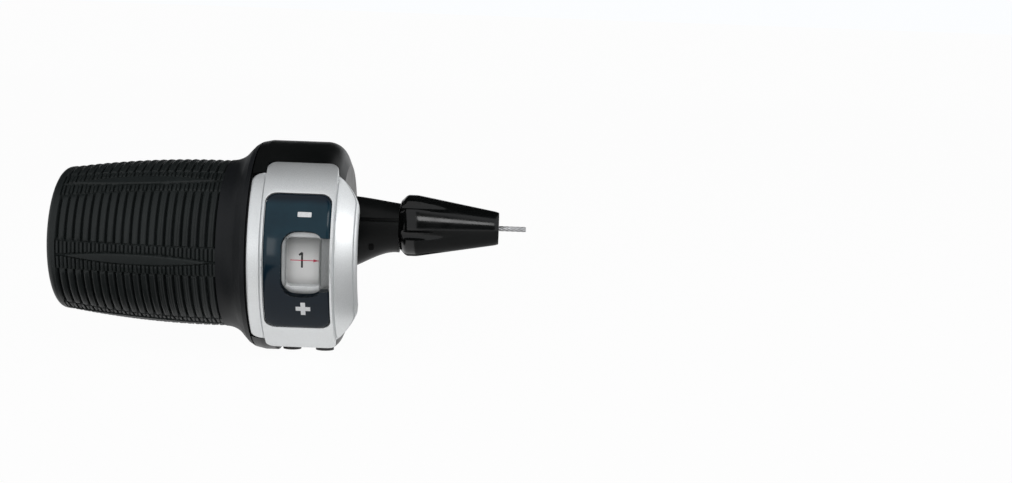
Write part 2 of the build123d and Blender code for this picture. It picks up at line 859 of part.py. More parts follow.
with BuildPart() as pads:
    with BuildSketch(radial_plane(90)):
        with BuildLine():
            pad_crown = ThreePointArc(
                (rib_left, sleeve_radius(rib_left) + pad_rise),
                (pad_x, sleeve_radius(pad_x) + pad_rise),
                (rib_stop, sleeve_radius(rib_stop) + pad_rise),
            )
            Polyline(
                pad_crown @ 1,
                (rib_stop, core_radius + rubber_outer / 2),
                (rib_left, core_radius + rubber_outer / 2),
                pad_crown @ 0,
            )
        make_face()
    revolve(axis=Axis.X)
    for pad in range(pad_count):
        with BuildSketch(bore_plane(pad_first_angle + pad * 360 / pad_count, pad_x, core_radius)):
            with BuildLine():
                ThreePointArc((-pad_length / 2, 0), (0, pad_half), (pad_length / 2, 0))
                ThreePointArc((pad_length / 2, 0), (0, -pad_half), (-pad_length / 2, 0))
            make_face()
    extrude(amount=rubber_inner + rubber_middle, mode=Mode.INTERSECT)

with BuildPart() as grip_sleeve:
    with BuildSketch(radial_plane(90)):
        with BuildLine():
            Polyline(
                (sleeve_end, sleeve_radius(sleeve_end) - end_chamfer),
                (sleeve_end + end_chamfer, sleeve_radius(sleeve_end + end_chamfer)),
                (rib_left, sleeve_radius(rib_left)),
                *rib_points,
                (sleeve_right, sleeve_radius(sleeve_right)),
                (sleeve_right, sleeve_bore_radius),
                (sleeve_end + sleeve_lip, sleeve_bore_radius),
                (sleeve_end + sleeve_lip, core_bore_radius + grip_clearance),
                (sleeve_end, core_bore_radius + grip_clearance),
                close=True,
            )
        make_face()
    revolve(axis=Axis.X)
    add(pads.part)
grip_sleeve.part.label = "grip_sleeve"
export_step(grip_sleeve.part, "parts/grip_sleeve.step")

# Barrel adjuster: a tapered knob with flutes that run out along the taper
flute_centre = flute_bottom + flute_radius
taper_left = barrel_left + barrel_rear_length + barrel_land

with BuildPart() as barrel_adjuster:
    with BuildSketch(Plane(origin=(0, exit_y, exit_z), x_dir=(1, 0, 0), z_dir=(0, -1, 0))):
        with BuildLine():
            Polyline(
                (barrel_left, 0),
                (barrel_left, barrel_rear_radius),
                (barrel_left + barrel_rear_length, barrel_radius),
                (taper_left, barrel_radius),
                (barrel_right - barrel_nose_edge, barrel_nose_radius),
                (barrel_right, barrel_nose_radius - barrel_nose_edge),
                (barrel_right, 0),
                close=True,
            )
        make_face()
    revolve(axis=exit_axis)
    with BuildSketch(Plane.YZ.offset(barrel_left)):
        for flute in range(flute_count):
            turn = radians(flute_angle + flute * 360 / flute_count)
            with Locations((exit_y - flute_centre * cos(turn), exit_z + flute_centre * sin(turn))):
                Circle(flute_radius)
    extrude(amount=barrel_length, mode=Mode.SUBTRACT)
    with BuildSketch(Plane.YZ.offset(barrel_left)):
        with Locations((exit_y, exit_z)):
            Circle(stem_diameter / 2 + running_clearance)
    extrude(amount=stem_overlap, mode=Mode.SUBTRACT)
    with BuildSketch(Plane.YZ.offset(barrel_left)):
        with Locations((exit_y, exit_z)):
            Circle(stem_bore / 2)
    extrude(amount=barrel_length, mode=Mode.SUBTRACT)
    with BuildSketch(Plane.YZ.offset(barrel_right - casing_seat_depth)):
        with Locations((exit_y, exit_z)):
            Circle(casing_seat_radius)
    extrude(amount=casing_seat_depth, mode=Mode.SUBTRACT)
barrel_adjuster.part.label = "barrel_adjuster"
export_step(barrel_adjuster.part, "parts/barrel_adjuster.step")

# Stem: a hollow threaded tube between neck and barrel
with BuildPart() as adjuster_stem:
    with BuildSketch(Plane.YZ.offset(neck_insert_left)):
        with Locations((exit_y, exit_z)):
            Circle(stem_diameter / 2)
            Circle(stem_bore / 2, mode=Mode.SUBTRACT)
    extrude(amount=barrel_left + stem_overlap - axial_clearance - neck_insert_left)
adjuster_stem.part.label = "adjuster_stem"
export_step(adjuster_stem.part, "parts/adjuster_stem.step")
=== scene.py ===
import bmesh
import bpy
import json
import numpy as np
from math import cos, radians, sin
from mathutils import Matrix, Vector


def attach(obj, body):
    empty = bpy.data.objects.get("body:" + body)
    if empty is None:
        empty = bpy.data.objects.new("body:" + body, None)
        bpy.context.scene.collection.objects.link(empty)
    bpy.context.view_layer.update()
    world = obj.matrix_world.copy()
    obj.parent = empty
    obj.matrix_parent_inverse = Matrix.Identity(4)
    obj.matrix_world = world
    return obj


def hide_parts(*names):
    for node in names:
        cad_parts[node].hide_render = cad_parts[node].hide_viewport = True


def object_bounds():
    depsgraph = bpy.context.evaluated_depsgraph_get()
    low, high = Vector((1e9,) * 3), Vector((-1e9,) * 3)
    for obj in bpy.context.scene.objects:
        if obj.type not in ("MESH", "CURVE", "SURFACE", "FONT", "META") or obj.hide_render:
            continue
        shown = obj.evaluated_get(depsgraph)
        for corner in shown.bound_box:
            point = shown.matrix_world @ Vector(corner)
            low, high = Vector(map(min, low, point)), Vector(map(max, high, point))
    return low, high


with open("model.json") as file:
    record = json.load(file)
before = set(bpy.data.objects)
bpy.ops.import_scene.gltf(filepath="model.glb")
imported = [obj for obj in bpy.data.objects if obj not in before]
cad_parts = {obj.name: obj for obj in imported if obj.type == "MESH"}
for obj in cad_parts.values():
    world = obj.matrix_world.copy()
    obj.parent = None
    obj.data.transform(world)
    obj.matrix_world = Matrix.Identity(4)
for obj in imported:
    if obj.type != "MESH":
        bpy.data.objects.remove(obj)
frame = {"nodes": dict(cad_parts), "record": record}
cadBox = [list(corner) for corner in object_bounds()]
mm = 0.001  # every size below is in mm, as on the part's drawing
print("frame loaded with", len(frame["nodes"]), "nodes")


def ease(low, high, value):
    # smooth step: 0 below low, 1 above high, 3t^2 - 2t^3 between
    t = np.clip((value - low) / (high - low), 0, 1)
    return t * t * (3 - 2 * t)


def roundBar(x, radius, angle):
    # cylinder coordinates about the bar: x along it, the angle upwards from the rider's side
    x, radius, angle = np.broadcast_arrays(x, radius, angle)
    return np.stack([x, -radius * np.cos(angle), radius * np.sin(angle)], axis=-1)


def gridFaces(rows, columns, rowsClose, columnsClose):
    # quad (i, j) joins rows i, i+1 and columns j, j+1; a closed direction wraps round to its start
    i = np.arange(rows if rowsClose else rows - 1)[:, None]
    j = np.arange(columns if columnsClose else columns - 1)[None, :]
    nextI, nextJ = (i + 1) % rows, (j + 1) % columns
    corners = [i * columns + j, nextI * columns + j, nextI * columns + nextJ, i * columns + nextJ]
    return np.stack(corners, axis=-1).reshape(-1, 4)


mergeGap = {"doubles": 0.0005, "slivers": 0.0002}


def makePiece(name, grids, material, body, replaced=(), sharp=40):
    # grids are (points, rowsClose, columnsClose); doubles merge, so that poles and seams are closed
    points, faces, start = [], [], 0
    for grid, rowsClose, columnsClose in grids:
        rows, columns = grid.shape[:2]
        points.append(grid.reshape(-1, 3))
        faces.append(gridFaces(rows, columns, rowsClose, columnsClose) + start)
        start += rows * columns
    points, faces = np.concatenate(points) * mm, np.concatenate(faces)
    mesh = bpy.data.meshes.new(name)
    mesh.vertices.add(len(points))
    mesh.vertices.foreach_set("co", points.astype(np.float32).ravel())
    mesh.loops.add(faces.size)
    mesh.loops.foreach_set("vertex_index", faces.astype(np.int32).ravel())
    mesh.polygons.add(len(faces))
    mesh.polygons.foreach_set("loop_start", np.arange(0, faces.size, 4, dtype=np.int32))
    mesh.update(calc_edges=True)
    mesh.validate()

    build = bmesh.new()
    build.from_mesh(mesh)
    bmesh.ops.remove_doubles(build, verts=build.verts, dist=mergeGap["doubles"] * mm)
    bmesh.ops.dissolve_degenerate(build, edges=build.edges, dist=mergeGap["slivers"] * mm)
    bmesh.ops.recalc_face_normals(build, faces=build.faces)
    build.to_mesh(mesh)
    build.free()
    mesh.polygons.foreach_set("use_smooth", np.ones(len(mesh.polygons), dtype=bool))
    mesh.set_sharp_from_angle(angle=radians(sharp))
    mesh.materials.append(material)

    piece = bpy.data.objects.new(name, mesh)
    bpy.context.scene.collection.objects.link(piece)
    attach(piece, body)
    if replaced:
        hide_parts(*replaced)
    print(name, "has", sum(len(face.vertices) - 2 for face in mesh.polygons), "triangles")
    return piece


class Socket:
    # wraps one output of a material's tree, and arithmetic on it adds Math nodes
    def __init__(self, tree, output=None):
        self.tree, self.output = tree, output

    def node(self, kind, settings=None, inputs=None, output=0):
        # any node: its settings first, then the values or links of its sockets
        made = self.tree.nodes.new(kind)
        for key, value in (settings or {}).items():
            setattr(made, key, value)
        for key, value in (inputs or {}).items():
            if isinstance(value, Socket):
                self.tree.links.new(value.output, made.inputs[key])
            else:
                made.inputs[key].default_value = value
        return Socket(self.tree, made.outputs[output] if len(made.outputs) else None)

    def math(self, operation, first, second=0.0):
        return self.node("ShaderNodeMath", {"operation": operation}, {0: first, 1: second})

    def __add__(self, other):
        return self.math("ADD", self, other)

    def __radd__(self, other):
        return self.math("ADD", other, self)

    def __sub__(self, other):
        return self.math("SUBTRACT", self, other)

    def __rsub__(self, other):
        return self.math("SUBTRACT", other, self)

    def __mul__(self, other):
        return self.math("MULTIPLY", self, other)

    def __rmul__(self, other):
        return self.math("MULTIPLY", other, self)

    def __abs__(self):
        return self.math("ABSOLUTE", self)

    def top(self, other):
        return self.math("MAXIMUM", self, other)

    def low(self, other):
        return self.math("MINIMUM", self, other)

    def step(self, low, high):
        # 0 below low, 1 above high, smooth between
        inputs = {"Value": self, "From Min": low, "From Max": high}
        return self.node("ShaderNodeMapRange", {"interpolation_type": "SMOOTHSTEP"}, inputs)

    def blend(self, first, second):
        # colour mix with this socket as the factor
        inputs = {0: self, 6: (*first, 1) if isinstance(first, tuple) else first, 7: (*second, 1)}
        return self.node("ShaderNodeMix", {"data_type": "RGBA"}, inputs, 2)

    def noise(self, scale, detail=2.0, stretch=(1, 1, 1)):
        # value noise about 0.5 on object coordinates, scale in cells per metre
        place = self.node("ShaderNodeTexCoord", output="Object")
        turned = self.node("ShaderNodeMapping", None, {"Vector": place, "Scale": stretch})
        inputs = {"Vector": turned, "Scale": scale, "Detail": detail}
        return self.node("ShaderNodeTexNoise", None, inputs)

    def bump(self, strength, depth):
        # normal from this socket as height, depth in mm
        inputs = {"Strength": strength, "Distance": depth * mm, "Height": self}
        return self.node("ShaderNodeBump", None, inputs)


def startMaterial(name):
    material = bpy.data.materials.new(name)
    material.use_nodes = True
    material.node_tree.nodes.clear()
    return material, Socket(material.node_tree)


def surface(root, **sockets):
    inputs = {key.replace("_", " "): value for key, value in sockets.items()}
    shader = root.node("ShaderNodeBsdfPrincipled", None, inputs)
    root.node("ShaderNodeOutputMaterial", None, {"Surface": shader})


# Moulded plastics
moulding = {
    "drift": 90.0,  # cells of tone per metre
    "smear": 240.0,  # cells of gloss
    "span": (0.3, 0.7),  # noise that takes the tone from dark to light
    "smearRough": 0.16,  # swing in roughness from handling, and from the grain
    "grainRough": 0.08,
    "grainBump": 0.35,
}
plastics = {  # dark and light tone, roughness, grain in cells per metre, its depth, specular level
    "black_shell": ((0.0045, 0.005, 0.005), (0.007, 0.0075, 0.0075), 0.36, 4200.0, 0.02, 0.15),
    "black_core": ((0.007, 0.008, 0.009), (0.01, 0.011, 0.0125), 0.5, 5200.0, 0.03, 0.18),
    "black_inner": ((0.02, 0.02, 0.021), (0.03, 0.03, 0.031), 0.5, 3000.0, 0.03, 0.5),
    "gloss_black": ((0.003, 0.0035, 0.0035), (0.005, 0.0055, 0.0055), 0.17, 2600.0, 0.01, 0.36),
    "white_inner": ((0.62, 0.61, 0.57), (0.7, 0.69, 0.65), 0.42, 2600.0, 0.02, 0.5),
    "number_silver": ((0.86, 0.86, 0.85), (0.92, 0.92, 0.91), 0.4, 3600.0, 0.01, 0.5),
}


def mouldedPlastic(name, dark, light, rough, grain, depth, specular):
    # slow colour drift, a fine spark-eroded grain, and gloss that varies with handling
    material, root = startMaterial(name)
    drift, fine = root.noise(moulding["drift"], 3.0), root.noise(grain)
    smear = root.noise(moulding["smear"], 4.0)
    handled = rough + (smear - 0.5) * moulding["smearRough"]
    surface(
        root,
        Base_Color=drift.step(*moulding["span"]).blend(dark, light),
        Roughness=handled + (fine - 0.5) * moulding["grainRough"],
        Normal=fine.bump(moulding["grainBump"], depth),
        Specular_IOR_Level=specular,
    )
    return material


# Bare and plated metals
tooling = {
    "marks": 1500.0,  # cells per metre
    "patch": 420.0,
    "patchShare": 0.6,
    "span": (0.3, 0.7),
    "markRough": 0.25,
    "markBump": (0.3, 0.02),  # strength and depth
}
metals = {  # dark and light tone, roughness, lay of the tool marks, metallic share
    "small_steel": ((0.48, 0.48, 0.49), (0.66, 0.66, 0.67), 0.34, (1, 1, 1), 1.0),
    "spring_steel": ((0.36, 0.36, 0.38), (0.52, 0.52, 0.54), 0.32, (0.15, 1, 1), 1.0),
    "black_steel": ((0.02, 0.02, 0.021), (0.045, 0.044, 0.043), 0.42, (1, 1, 1), 0.6),
    "brass": ((0.52, 0.36, 0.13), (0.72, 0.53, 0.24), 0.3, (4, 0.3, 0.3), 1.0),
    "wire": ((0.56, 0.56, 0.57), (0.8, 0.8, 0.81), 0.36, (0.1, 1, 1), 1.0),
    "wire_head": ((0.42, 0.42, 0.42), (0.6, 0.6, 0.6), 0.48, (1, 1, 1), 1.0),
}


def bareMetal(name, dark, light, rough, lay, metal):
    # tool marks drawn out along one way, and a patchy tone
    material, root = startMaterial(name)
    marks, patch = root.noise(tooling["marks"], 2.0, lay), root.noise(tooling["patch"], 3.0)
    tone = patch * tooling["patchShare"] + marks * (1 - tooling["patchShare"])
    surface(
        root,
        Base_Color=tone.step(*tooling["span"]).blend(dark, light),
        Roughness=rough + (marks - 0.5) * tooling["markRough"],
        Metallic=metal,
        Normal=marks.bump(*tooling["markBump"]),
    )
    return material


# Satin silver paint
paint = {
    "flakes": 9000.0,  # cells per metre
    "peel": 1400.0,
    "dust": 160.0,
    "dark": (0.68, 0.695, 0.70),
    "light": (0.80, 0.815, 0.82),
    "flakeSpan": (0.35, 0.65),
    "dusty": (0.69, 0.69, 0.68),
    "dustSpan": (0.45, 0.75),
    "dustShare": 0.25,
    "rough": 0.44,
    "dustRough": 0.12,
    "flakeRough": 0.1,
    "metallic": 0.72,
    "peelShare": 0.7,  # the rest of the bump is flakes
    "bump": (0.12, 0.02),  # strength and depth
}


def silverPaint():
    # tiny flakes that sparkle in tone, thin orange peel, dust that dulls it in patches
    material, root = startMaterial("silver_paint")
    flakes, peel = root.noise(paint["flakes"], 1.0), root.noise(paint["peel"])
    dust = root.noise(paint["dust"], 4.0)
    tone = flakes.step(*paint["flakeSpan"]).blend(paint["dark"], paint["light"])
    dulled = paint["rough"] + (dust - 0.5) * paint["dustRough"]
    skin = peel * paint["peelShare"] + flakes * (1 - paint["peelShare"])
    surface(
        root,
        Base_Color=(dust.step(*paint["dustSpan"]) * paint["dustShare"]).blend(tone, paint["dusty"]),
        Roughness=dulled + (flakes - 0.5) * paint["flakeRough"],
        Metallic=paint["metallic"],
        Normal=skin.bump(*paint["bump"]),
    )
    return material


# Moulded rubber
rubber = {
    "grain": 5200.0,  # cells per metre
    "dust": 700.0,
    "patch": 60.0,
    "dark": (0.0105, 0.0128, 0.0128),
    "light": (0.0145, 0.0176, 0.0176),
    "patchSpan": (0.3, 0.7),
    "dusty": (0.024, 0.028, 0.028),
    "dustSpan": (0.5, 0.85),
    "dustShare": 0.35,
    "rough": 0.46,
    "grainRough": 0.2,
    "patchRough": 0.1,
    "grainShare": 0.7,  # the rest of the bump is dust
    "bump": (0.35, 0.03),  # strength and depth
    "specular": 0.21,
}


def gripRubber():
    # dull, with a fine grain, paler dust in it and slow shiny patches
    material, root = startMaterial("grip_rubber")
    grain, dust = root.noise(rubber["grain"], 3.0), root.noise(rubber["dust"], 5.0)
    patch = root.noise(rubber["patch"])
    tone = patch.step(*rubber["patchSpan"]).blend(rubber["dark"], rubber["light"])
    dusted = dust.step(*rubber["dustSpan"]) * rubber["dustShare"]
    skin = grain * rubber["grainShare"] + dust * (1 - rubber["grainShare"])
    worn = rubber["rough"] + (grain - 0.5) * rubber["grainRough"]
    surface(
        root,
        Base_Color=dusted.blend(tone, rubber["dusty"]),
        Roughness=worn + (patch - 0.5) * rubber["patchRough"],
        Normal=skin.bump(*rubber["bump"]),
        Specular_IOR_Level=rubber["specular"],
    )
    return material


# Clear lens with a black print on its back, a painted sheen and painted shade
lensPrintAndPaintedLight = {
    "rimX": (-3.1, 5.67),  # clear window in the print
    "rimHalf": 6.2,
    "bow": 0.6,  # how far its ends swell in the middle
    "channelX": (3.0, 9.0),  # the window runs out to the lens's inboard edge
    "channelHalf": 5.5,
    "centre": 0.03,  # how far the window sits above the lens's middle
    "corner": 2.6,
    "soft": 0.06,  # blur of the print's edge
    "radius": 22.9,  # the bend on which arc lengths are measured
    "deep": (0.0035, 0.01, 0.0185),  # tone of the print, and of the painted sheen on its upper part
    "paintedSheen": (0.008, 0.031, 0.047),
    "paintedSheenFrom": (-6.0, 7.0),  # arcs between which the painted sheen comes in upwards and goes again under the top edge, a painted shade of that edge
    "paintedSheenTo": (11.6, 13.4),
    "paintedSheenHaze": (0.5, 0.9),
    "clear": (0.1, 0.107, 0.105),  # tone of the clear plastic where it hides what is behind it, and of the painted shade in the window
    "shade": 0.07,  # how far it hides it round the hole and inboard of the hole, and the painted shadow at the hole's top
    "shadeBeside": 0.26,
    # painted shadow at the top of the hole, coming in over topArc
    "paintedShadowTop": 0.26,
    "holeCentre": 0.36,
    "holeX": ((-2.3, -1.9), (4.5, 5.1)),  # soft ends of the hole
    "holeHalf": (5.2, 5.6),
    "topArc": (0.0, 5.6),
    "sideX": (1.34, 3.6),  # middle of the number window, and how far off it the painted-shade lines at its sides are
    "sideWidth": (0.05, 0.19),
    "sideHalf": (5.0, 5.4),
    "paintedSideShade": 0.44,
    "haze": 260.0,  # cells per metre
    "scuff": 2600.0,
    "scuffLay": (1, 6, 6),
    "scuffSpan": (0.62, 0.8),
    "rough": (0.09, 0.07, 0.05),  # at least, from haze and from scuffs
    "specular": 0.22,
}


def arcPlace(root, radius):
    # x along the bar and arc length round it, both in mm
    place = root.node("ShaderNodeTexCoord", output="Object")
    split = [root.node("ShaderNodeSeparateXYZ", None, {"Vector": place}, axis) for axis in range(3)]
    x, y, z = split
    return x * (1 / mm), root.math("ARCTAN2", z, 0.0 - y) * radius


def roundedBox(x, arc, left, right, half, corner, bow=0.0):
    # signed distance to a rounded rectangle, negative inside; a bow swells its ends as a parabola
    reachX = (right - left) / 2
    off = x - (left + right) / 2
    share = off * (1 / reachX)
    across = abs(off) - (reachX - corner)
    along = abs(arc) - (half - corner) - (1 - share * share) * bow
    outX, outArc = across.top(0.0), along.top(0.0)
    reach = x.math("SQRT", outX * outX + outArc * outArc)
    return reach + across.top(along).low(0.0) - corner


def lensGlass():
    # polished clear plastic; the print leaves a window of two joined rounded boxes with painted
    # shade in it, and carries a painted sheen
    material, root = startMaterial("lens_print_and_painted_light")
    x, arc = arcPlace(root, lensPrintAndPaintedLight["radius"])
    printed, arc = arc - lensPrintAndPaintedLight["centre"], arc - lensPrintAndPaintedLight["holeCentre"]
    corner, soft = lensPrintAndPaintedLight["corner"], lensPrintAndPaintedLight["soft"]
    rimSize, channelSize = lensPrintAndPaintedLight["rimHalf"], lensPrintAndPaintedLight["channelHalf"]
    rim = roundedBox(x, printed, *lensPrintAndPaintedLight["rimX"], rimSize, corner, lensPrintAndPaintedLight["bow"])
    channel = roundedBox(x, printed, *lensPrintAndPaintedLight["channelX"], channelSize, corner)
    window = 1 - rim.math("SMOOTH_MIN", rim, channel).step(-soft, soft)

    haze = root.noise(lensPrintAndPaintedLight["haze"], 4.0)
    scuff = root.noise(lensPrintAndPaintedLight["scuff"], 2.0, lensPrintAndPaintedLight["scuffLay"])
    hazeLeast, hazeShare = lensPrintAndPaintedLight["paintedSheenHaze"]
    # painted sheen: the print lighter and bluer upwards, hazy, and darker again under the top edge
    # as painted shade
    paintedSheen = arc.step(*lensPrintAndPaintedLight["paintedSheenFrom"]) * (1 - arc.step(*lensPrintAndPaintedLight["paintedSheenTo"]))
    tone = (paintedSheen * (hazeLeast + haze * hazeShare)).blend(lensPrintAndPaintedLight["deep"], lensPrintAndPaintedLight["paintedSheen"])

    # what the clear plastic hides: more inboard, less in the hole; a painted shadow at the hole's
    # top and painted-shade lines at the hole's sides
    holeLeft, holeRight = lensPrintAndPaintedLight["holeX"]
    beside, above = x.step(*holeRight), arc.step(*lensPrintAndPaintedLight["topArc"])
    inHole = (1 - beside) * x.step(*holeLeft) * (1 - abs(arc).step(*lensPrintAndPaintedLight["holeHalf"]))
    shade = lensPrintAndPaintedLight["shade"] + beside * lensPrintAndPaintedLight["shadeBeside"]
    shade = shade - inHole * (lensPrintAndPaintedLight["shade"] - above * lensPrintAndPaintedLight["paintedShadowTop"])
    # painted shade: dark lines where the hole's inner walls lie in shade
    sideMiddle, sideReach = lensPrintAndPaintedLight["sideX"]
    sides = 1 - abs(abs(x - sideMiddle) - sideReach).step(*lensPrintAndPaintedLight["sideWidth"])
    sides = sides * (1 - abs(arc).step(*lensPrintAndPaintedLight["sideHalf"]))
    shade = shade + sides * lensPrintAndPaintedLight["paintedSideShade"]

    rough, hazeRough, scuffRough = lensPrintAndPaintedLight["rough"]
    surface(
        root,
        Base_Color=window.blend(tone, lensPrintAndPaintedLight["clear"]),
        Roughness=rough + haze * hazeRough + scuff.step(*lensPrintAndPaintedLight["scuffSpan"]) * scuffRough,
        Alpha=1 - window * (1 - shade),
        Specular_IOR_Level=lensPrintAndPaintedLight["specular"],
    )
    return material


# Printed inks
wear = {"scale": 3200.0, "span": (0.35, 0.75), "rough": 0.2}
inks = {  # dark and light tone, roughness
    "mark_white": ((0.74, 0.75, 0.76), (0.82, 0.83, 0.84), 0.3),
    "number_black": ((0.012, 0.012, 0.012), (0.03, 0.03, 0.03), 0.45),
    "hairline_red": ((0.48, 0.02, 0.06), (0.62, 0.045, 0.1), 0.4),
}


def inkMaterial(name, dark, light, rough):
    # even colour with a slightly worn tone
    material, root = startMaterial(name)
    worn = root.noise(wear["scale"], 3.0)
    surface(
        root,
        Base_Color=worn.step(*wear["span"]).blend(dark, light),
        Roughness=rough + (worn - 0.5) * wear["rough"],
    )
    return material


finishes = {name: mouldedPlastic(name, *values) for name, values in plastics.items()}
finishes.update({name: bareMetal(name, *values) for name, values in metals.items()})
finishes.update({name: inkMaterial(name, *values) for name, values in inks.items()})
finishes.update({"silver_paint": silverPaint(), "grip_rubber": gripRubber(), "lens": lensGlass()})
for row in frame["record"]["subparts"]:
    node = frame["nodes"][row["node"]]
    node.data.materials.clear()
    node.data.materials.append(finishes[row["material_slot"]])
print("finishes made")

# Ribbed rubber sleeve
sleeve = {
    "leftX": -53.75,
    "rightX": -17.55,
    "endRadius": 15.3,
    "crown": 0.85,  # how far the middle stands above a straight taper
    "innerRadius": 18.2,
    "boreRadius": 13.45,
    "boreMiddle": -35.0,
    "lipRadius": 11.6,
    "lipLength": 1.2,
    "lipEdge": 0.2,
    "endRound": 1.3,
    "rowGap": 0.05,  # least step between rows
    "firstGroove": -51.2,
    "lastGroove": -17.7,
    "ribCount": 19,
    "ribMargin": 0.3,  # how far the relief runs past the outer grooves, in pitches
    "plain": 0.02,  # how far the smooth ends lie below the crest line
    "grooveShare": 0.16,  # half width of a groove, in pitches
    "grooveDepth": 0.5,
    "grooveWall": (0.35, 1.25),  # where its wall starts and ends, in half widths
    "shingle": 0.12,  # how far each rib leans
    "ribRound": 0.42,  # how far a rib's edges fall below its middle
    "ribPower": 2.4,
    "ribLine": (0.56, 0.06, 0.12),  # place, half width and depth of a fine line on each inboard rib
    "ribLineFade": (8, 13),  # ribs between which it fades in
    "stripCount": 6,
    "stripAngle": -4.0,
    "stripHalf": 1.1,
    "stripRise": 0.1,
    "stripStop": 0.7,  # pitches from a strip's points to the outer grooves
    "stripEdge": (0.1, 0.16),  # how far its edge runs inwards and outwards
    "toothReach": 3.15,  # arc from a strip's middle to the ends of the ribs
    "toothShare": 0.2,
    "toothDepth": 0.5,
    "toothDrop": 0.06,
    "toothEdge": 0.12,
    "border": 0.3,  # depth of the fine lines round the strip and the teeth
    "borderRibs": (0.08, 0.22),  # half width, sharp to soft
    "borderStrip": (0.08, 0.2),
    "borderBlend": 0.4,  # share of the relief left in them
}


def sleeveCrest(x):
    # straight taper plus a parabola that is nought at both ends
    share = (x - sleeve["leftX"]) / (sleeve["rightX"] - sleeve["leftX"])
    taper = sleeve["endRadius"] + (sleeve["innerRadius"] - sleeve["endRadius"]) * share
    return taper + sleeve["crown"] * 4 * share * (1 - share)


def groove(phase, half):
    # 1 at the bottom of a groove and 0 on the crest, for a phase that repeats every whole number
    off = np.abs(phase - np.round(phase))
    start, end = sleeve["grooveWall"]
    return 1 - ease(half * start, half * end, off)


def sleeveRelief(x, arc):
    # height above the crest line: ribs, short teeth beside each strip, and the smooth pointed strip
    count, side = sleeve["ribCount"], np.abs(arc)
    phase = (x - sleeve["firstGroove"]) / (sleeve["lastGroove"] - sleeve["firstGroove"]) * count
    onRibs = (phase > -sleeve["ribMargin"]) & (phase < count + sleeve["ribMargin"])
    within = phase - np.floor(phase)
    ribs = -sleeve["grooveDepth"] * groove(phase, sleeve["grooveShare"])
    ribs = ribs - sleeve["shingle"] * within
    ribs = ribs - sleeve["ribRound"] * np.abs(2 * within - 1) ** sleeve["ribPower"]
    linePlace, lineHalf, lineDepth = sleeve["ribLine"]
    line = groove(phase - linePlace, lineHalf) * ease(*sleeve["ribLineFade"], phase)
    ribs = ribs - lineDepth * line
    toothGrooves = groove(2 * phase + 0.5, sleeve["toothShare"])
    teeth = -sleeve["toothDepth"] * toothGrooves - sleeve["toothDrop"]

    # the strip is a parabola between its points; the ribs end at an even distance from its middle
    middle = np.clip((phase - 0.5 * count) / (0.5 * count - sleeve["stripStop"]), -1, 1)
    strip = sleeve["stripHalf"] * (1 - middle**2)
    inwards, outwards = sleeve["stripEdge"]
    reach, soft = sleeve["toothReach"], sleeve["toothEdge"]
    ribsEnd = 1 - ease(*sleeve["borderRibs"], np.abs(side - reach))
    stripEnd = 1 - ease(*sleeve["borderStrip"], np.abs(side - strip - outwards))
    border = -sleeve["border"] * (ribsEnd + stripEnd)
    onPanel = ease(reach - soft, reach + soft, side)
    onStrip = 1 - ease(strip - inwards, strip + outwards, side)
    height = teeth + (ribs - teeth) * onPanel
    height = np.minimum(height, height * sleeve["borderBlend"] + border * (1 - onStrip))
    height = height + (sleeve["stripRise"] - height) * onStrip
    return np.where(onRibs, height, -sleeve["plain"])


def buildSleeve():
    # closed profile along the bar, swept round it; on the outside the radius also takes the relief
    left, right, gap = sleeve["leftX"], sleeve["rightX"], sleeve["rowGap"]
    pitch = (sleeve["lastGroove"] - sleeve["firstGroove"]) / sleeve["ribCount"]
    steps = np.array([0, 0.05, 0.09, 0.13, 0.2, 0.34, 0.46, 0.56, 0.66, 0.8, 0.87, 0.91, 0.95])
    ribPhase = (np.arange(sleeve["ribCount"] + 1)[:, None] + steps).ravel()
    ribX = sleeve["firstGroove"] + pitch * ribPhase
    turn = np.linspace(0, 1, 8) * np.pi / 2
    roundX = left + sleeve["endRound"] * (1 - np.sin(turn))
    roundR = sleeveCrest(roundX) - sleeve["endRound"] * (1 - np.cos(turn))
    lipX = np.linspace(left + sleeve["endRound"] + 2 * gap, sleeve["firstGroove"] - gap, 10)
    outX = np.concatenate([roundX[::-1], lipX, ribX[ribX < right - gap], [right]])
    outR = np.concatenate([roundR[::-1], sleeveCrest(outX[len(turn):])])

    lipEnd, lip, edge = left + sleeve["lipLength"], sleeve["lipRadius"], sleeve["lipEdge"]
    inX = np.array([right, sleeve["boreMiddle"], lipEnd, lipEnd, left + edge, left])
    inR = np.array([sleeve["boreRadius"]] * 3 + [lip, lip, lip + edge])
    onOutside = np.ones(len(outX) - len(turn))
    weight = np.concatenate([np.zeros(len(turn)), onOutside, np.zeros(len(inX))])
    x, radius = np.concatenate([outX, inX]), np.concatenate([outR, inR])

    # degrees from a strip's middle, closer together on the strip and where the ribs end
    onStrip, ends = np.arange(0, 4.3, 0.43), np.arange(9.8, 11.2, 0.2)
    beside, beyond = [4.8, 5.8, 7, 8.2, 9, 9.5], [11.4, 12.4, 15.5, 20, 25]
    half = np.concatenate([onStrip, beside, ends, beyond])
    sector = np.concatenate([-half[:0:-1], half, [180 / sleeve["stripCount"]]])
    turns = sleeve["stripAngle"] + 360 / sleeve["stripCount"] * np.arange(sleeve["stripCount"])
    angle = np.radians((turns[:, None] + sector).ravel())
    offset = np.radians(np.tile(sector, sleeve["stripCount"]))
    arc = radius[:, None] * offset[None, :]
    lifted = radius[:, None] + weight[:, None] * sleeveRelief(x[:, None], arc)
    return [(roundBar(x[:, None], lifted, angle[None, :]), True, True)]


makePiece("gripSleeve", buildSleeve(), finishes["grip_rubber"], "twist_grip",
          ["grip_sleeve"], 60)

# Lip on the housing that hides the parting line's depth
partingLip = {"x": (-10.72, -10.45), "radius": (19.7, 21.9), "soft": 0.06, "columns": 144}


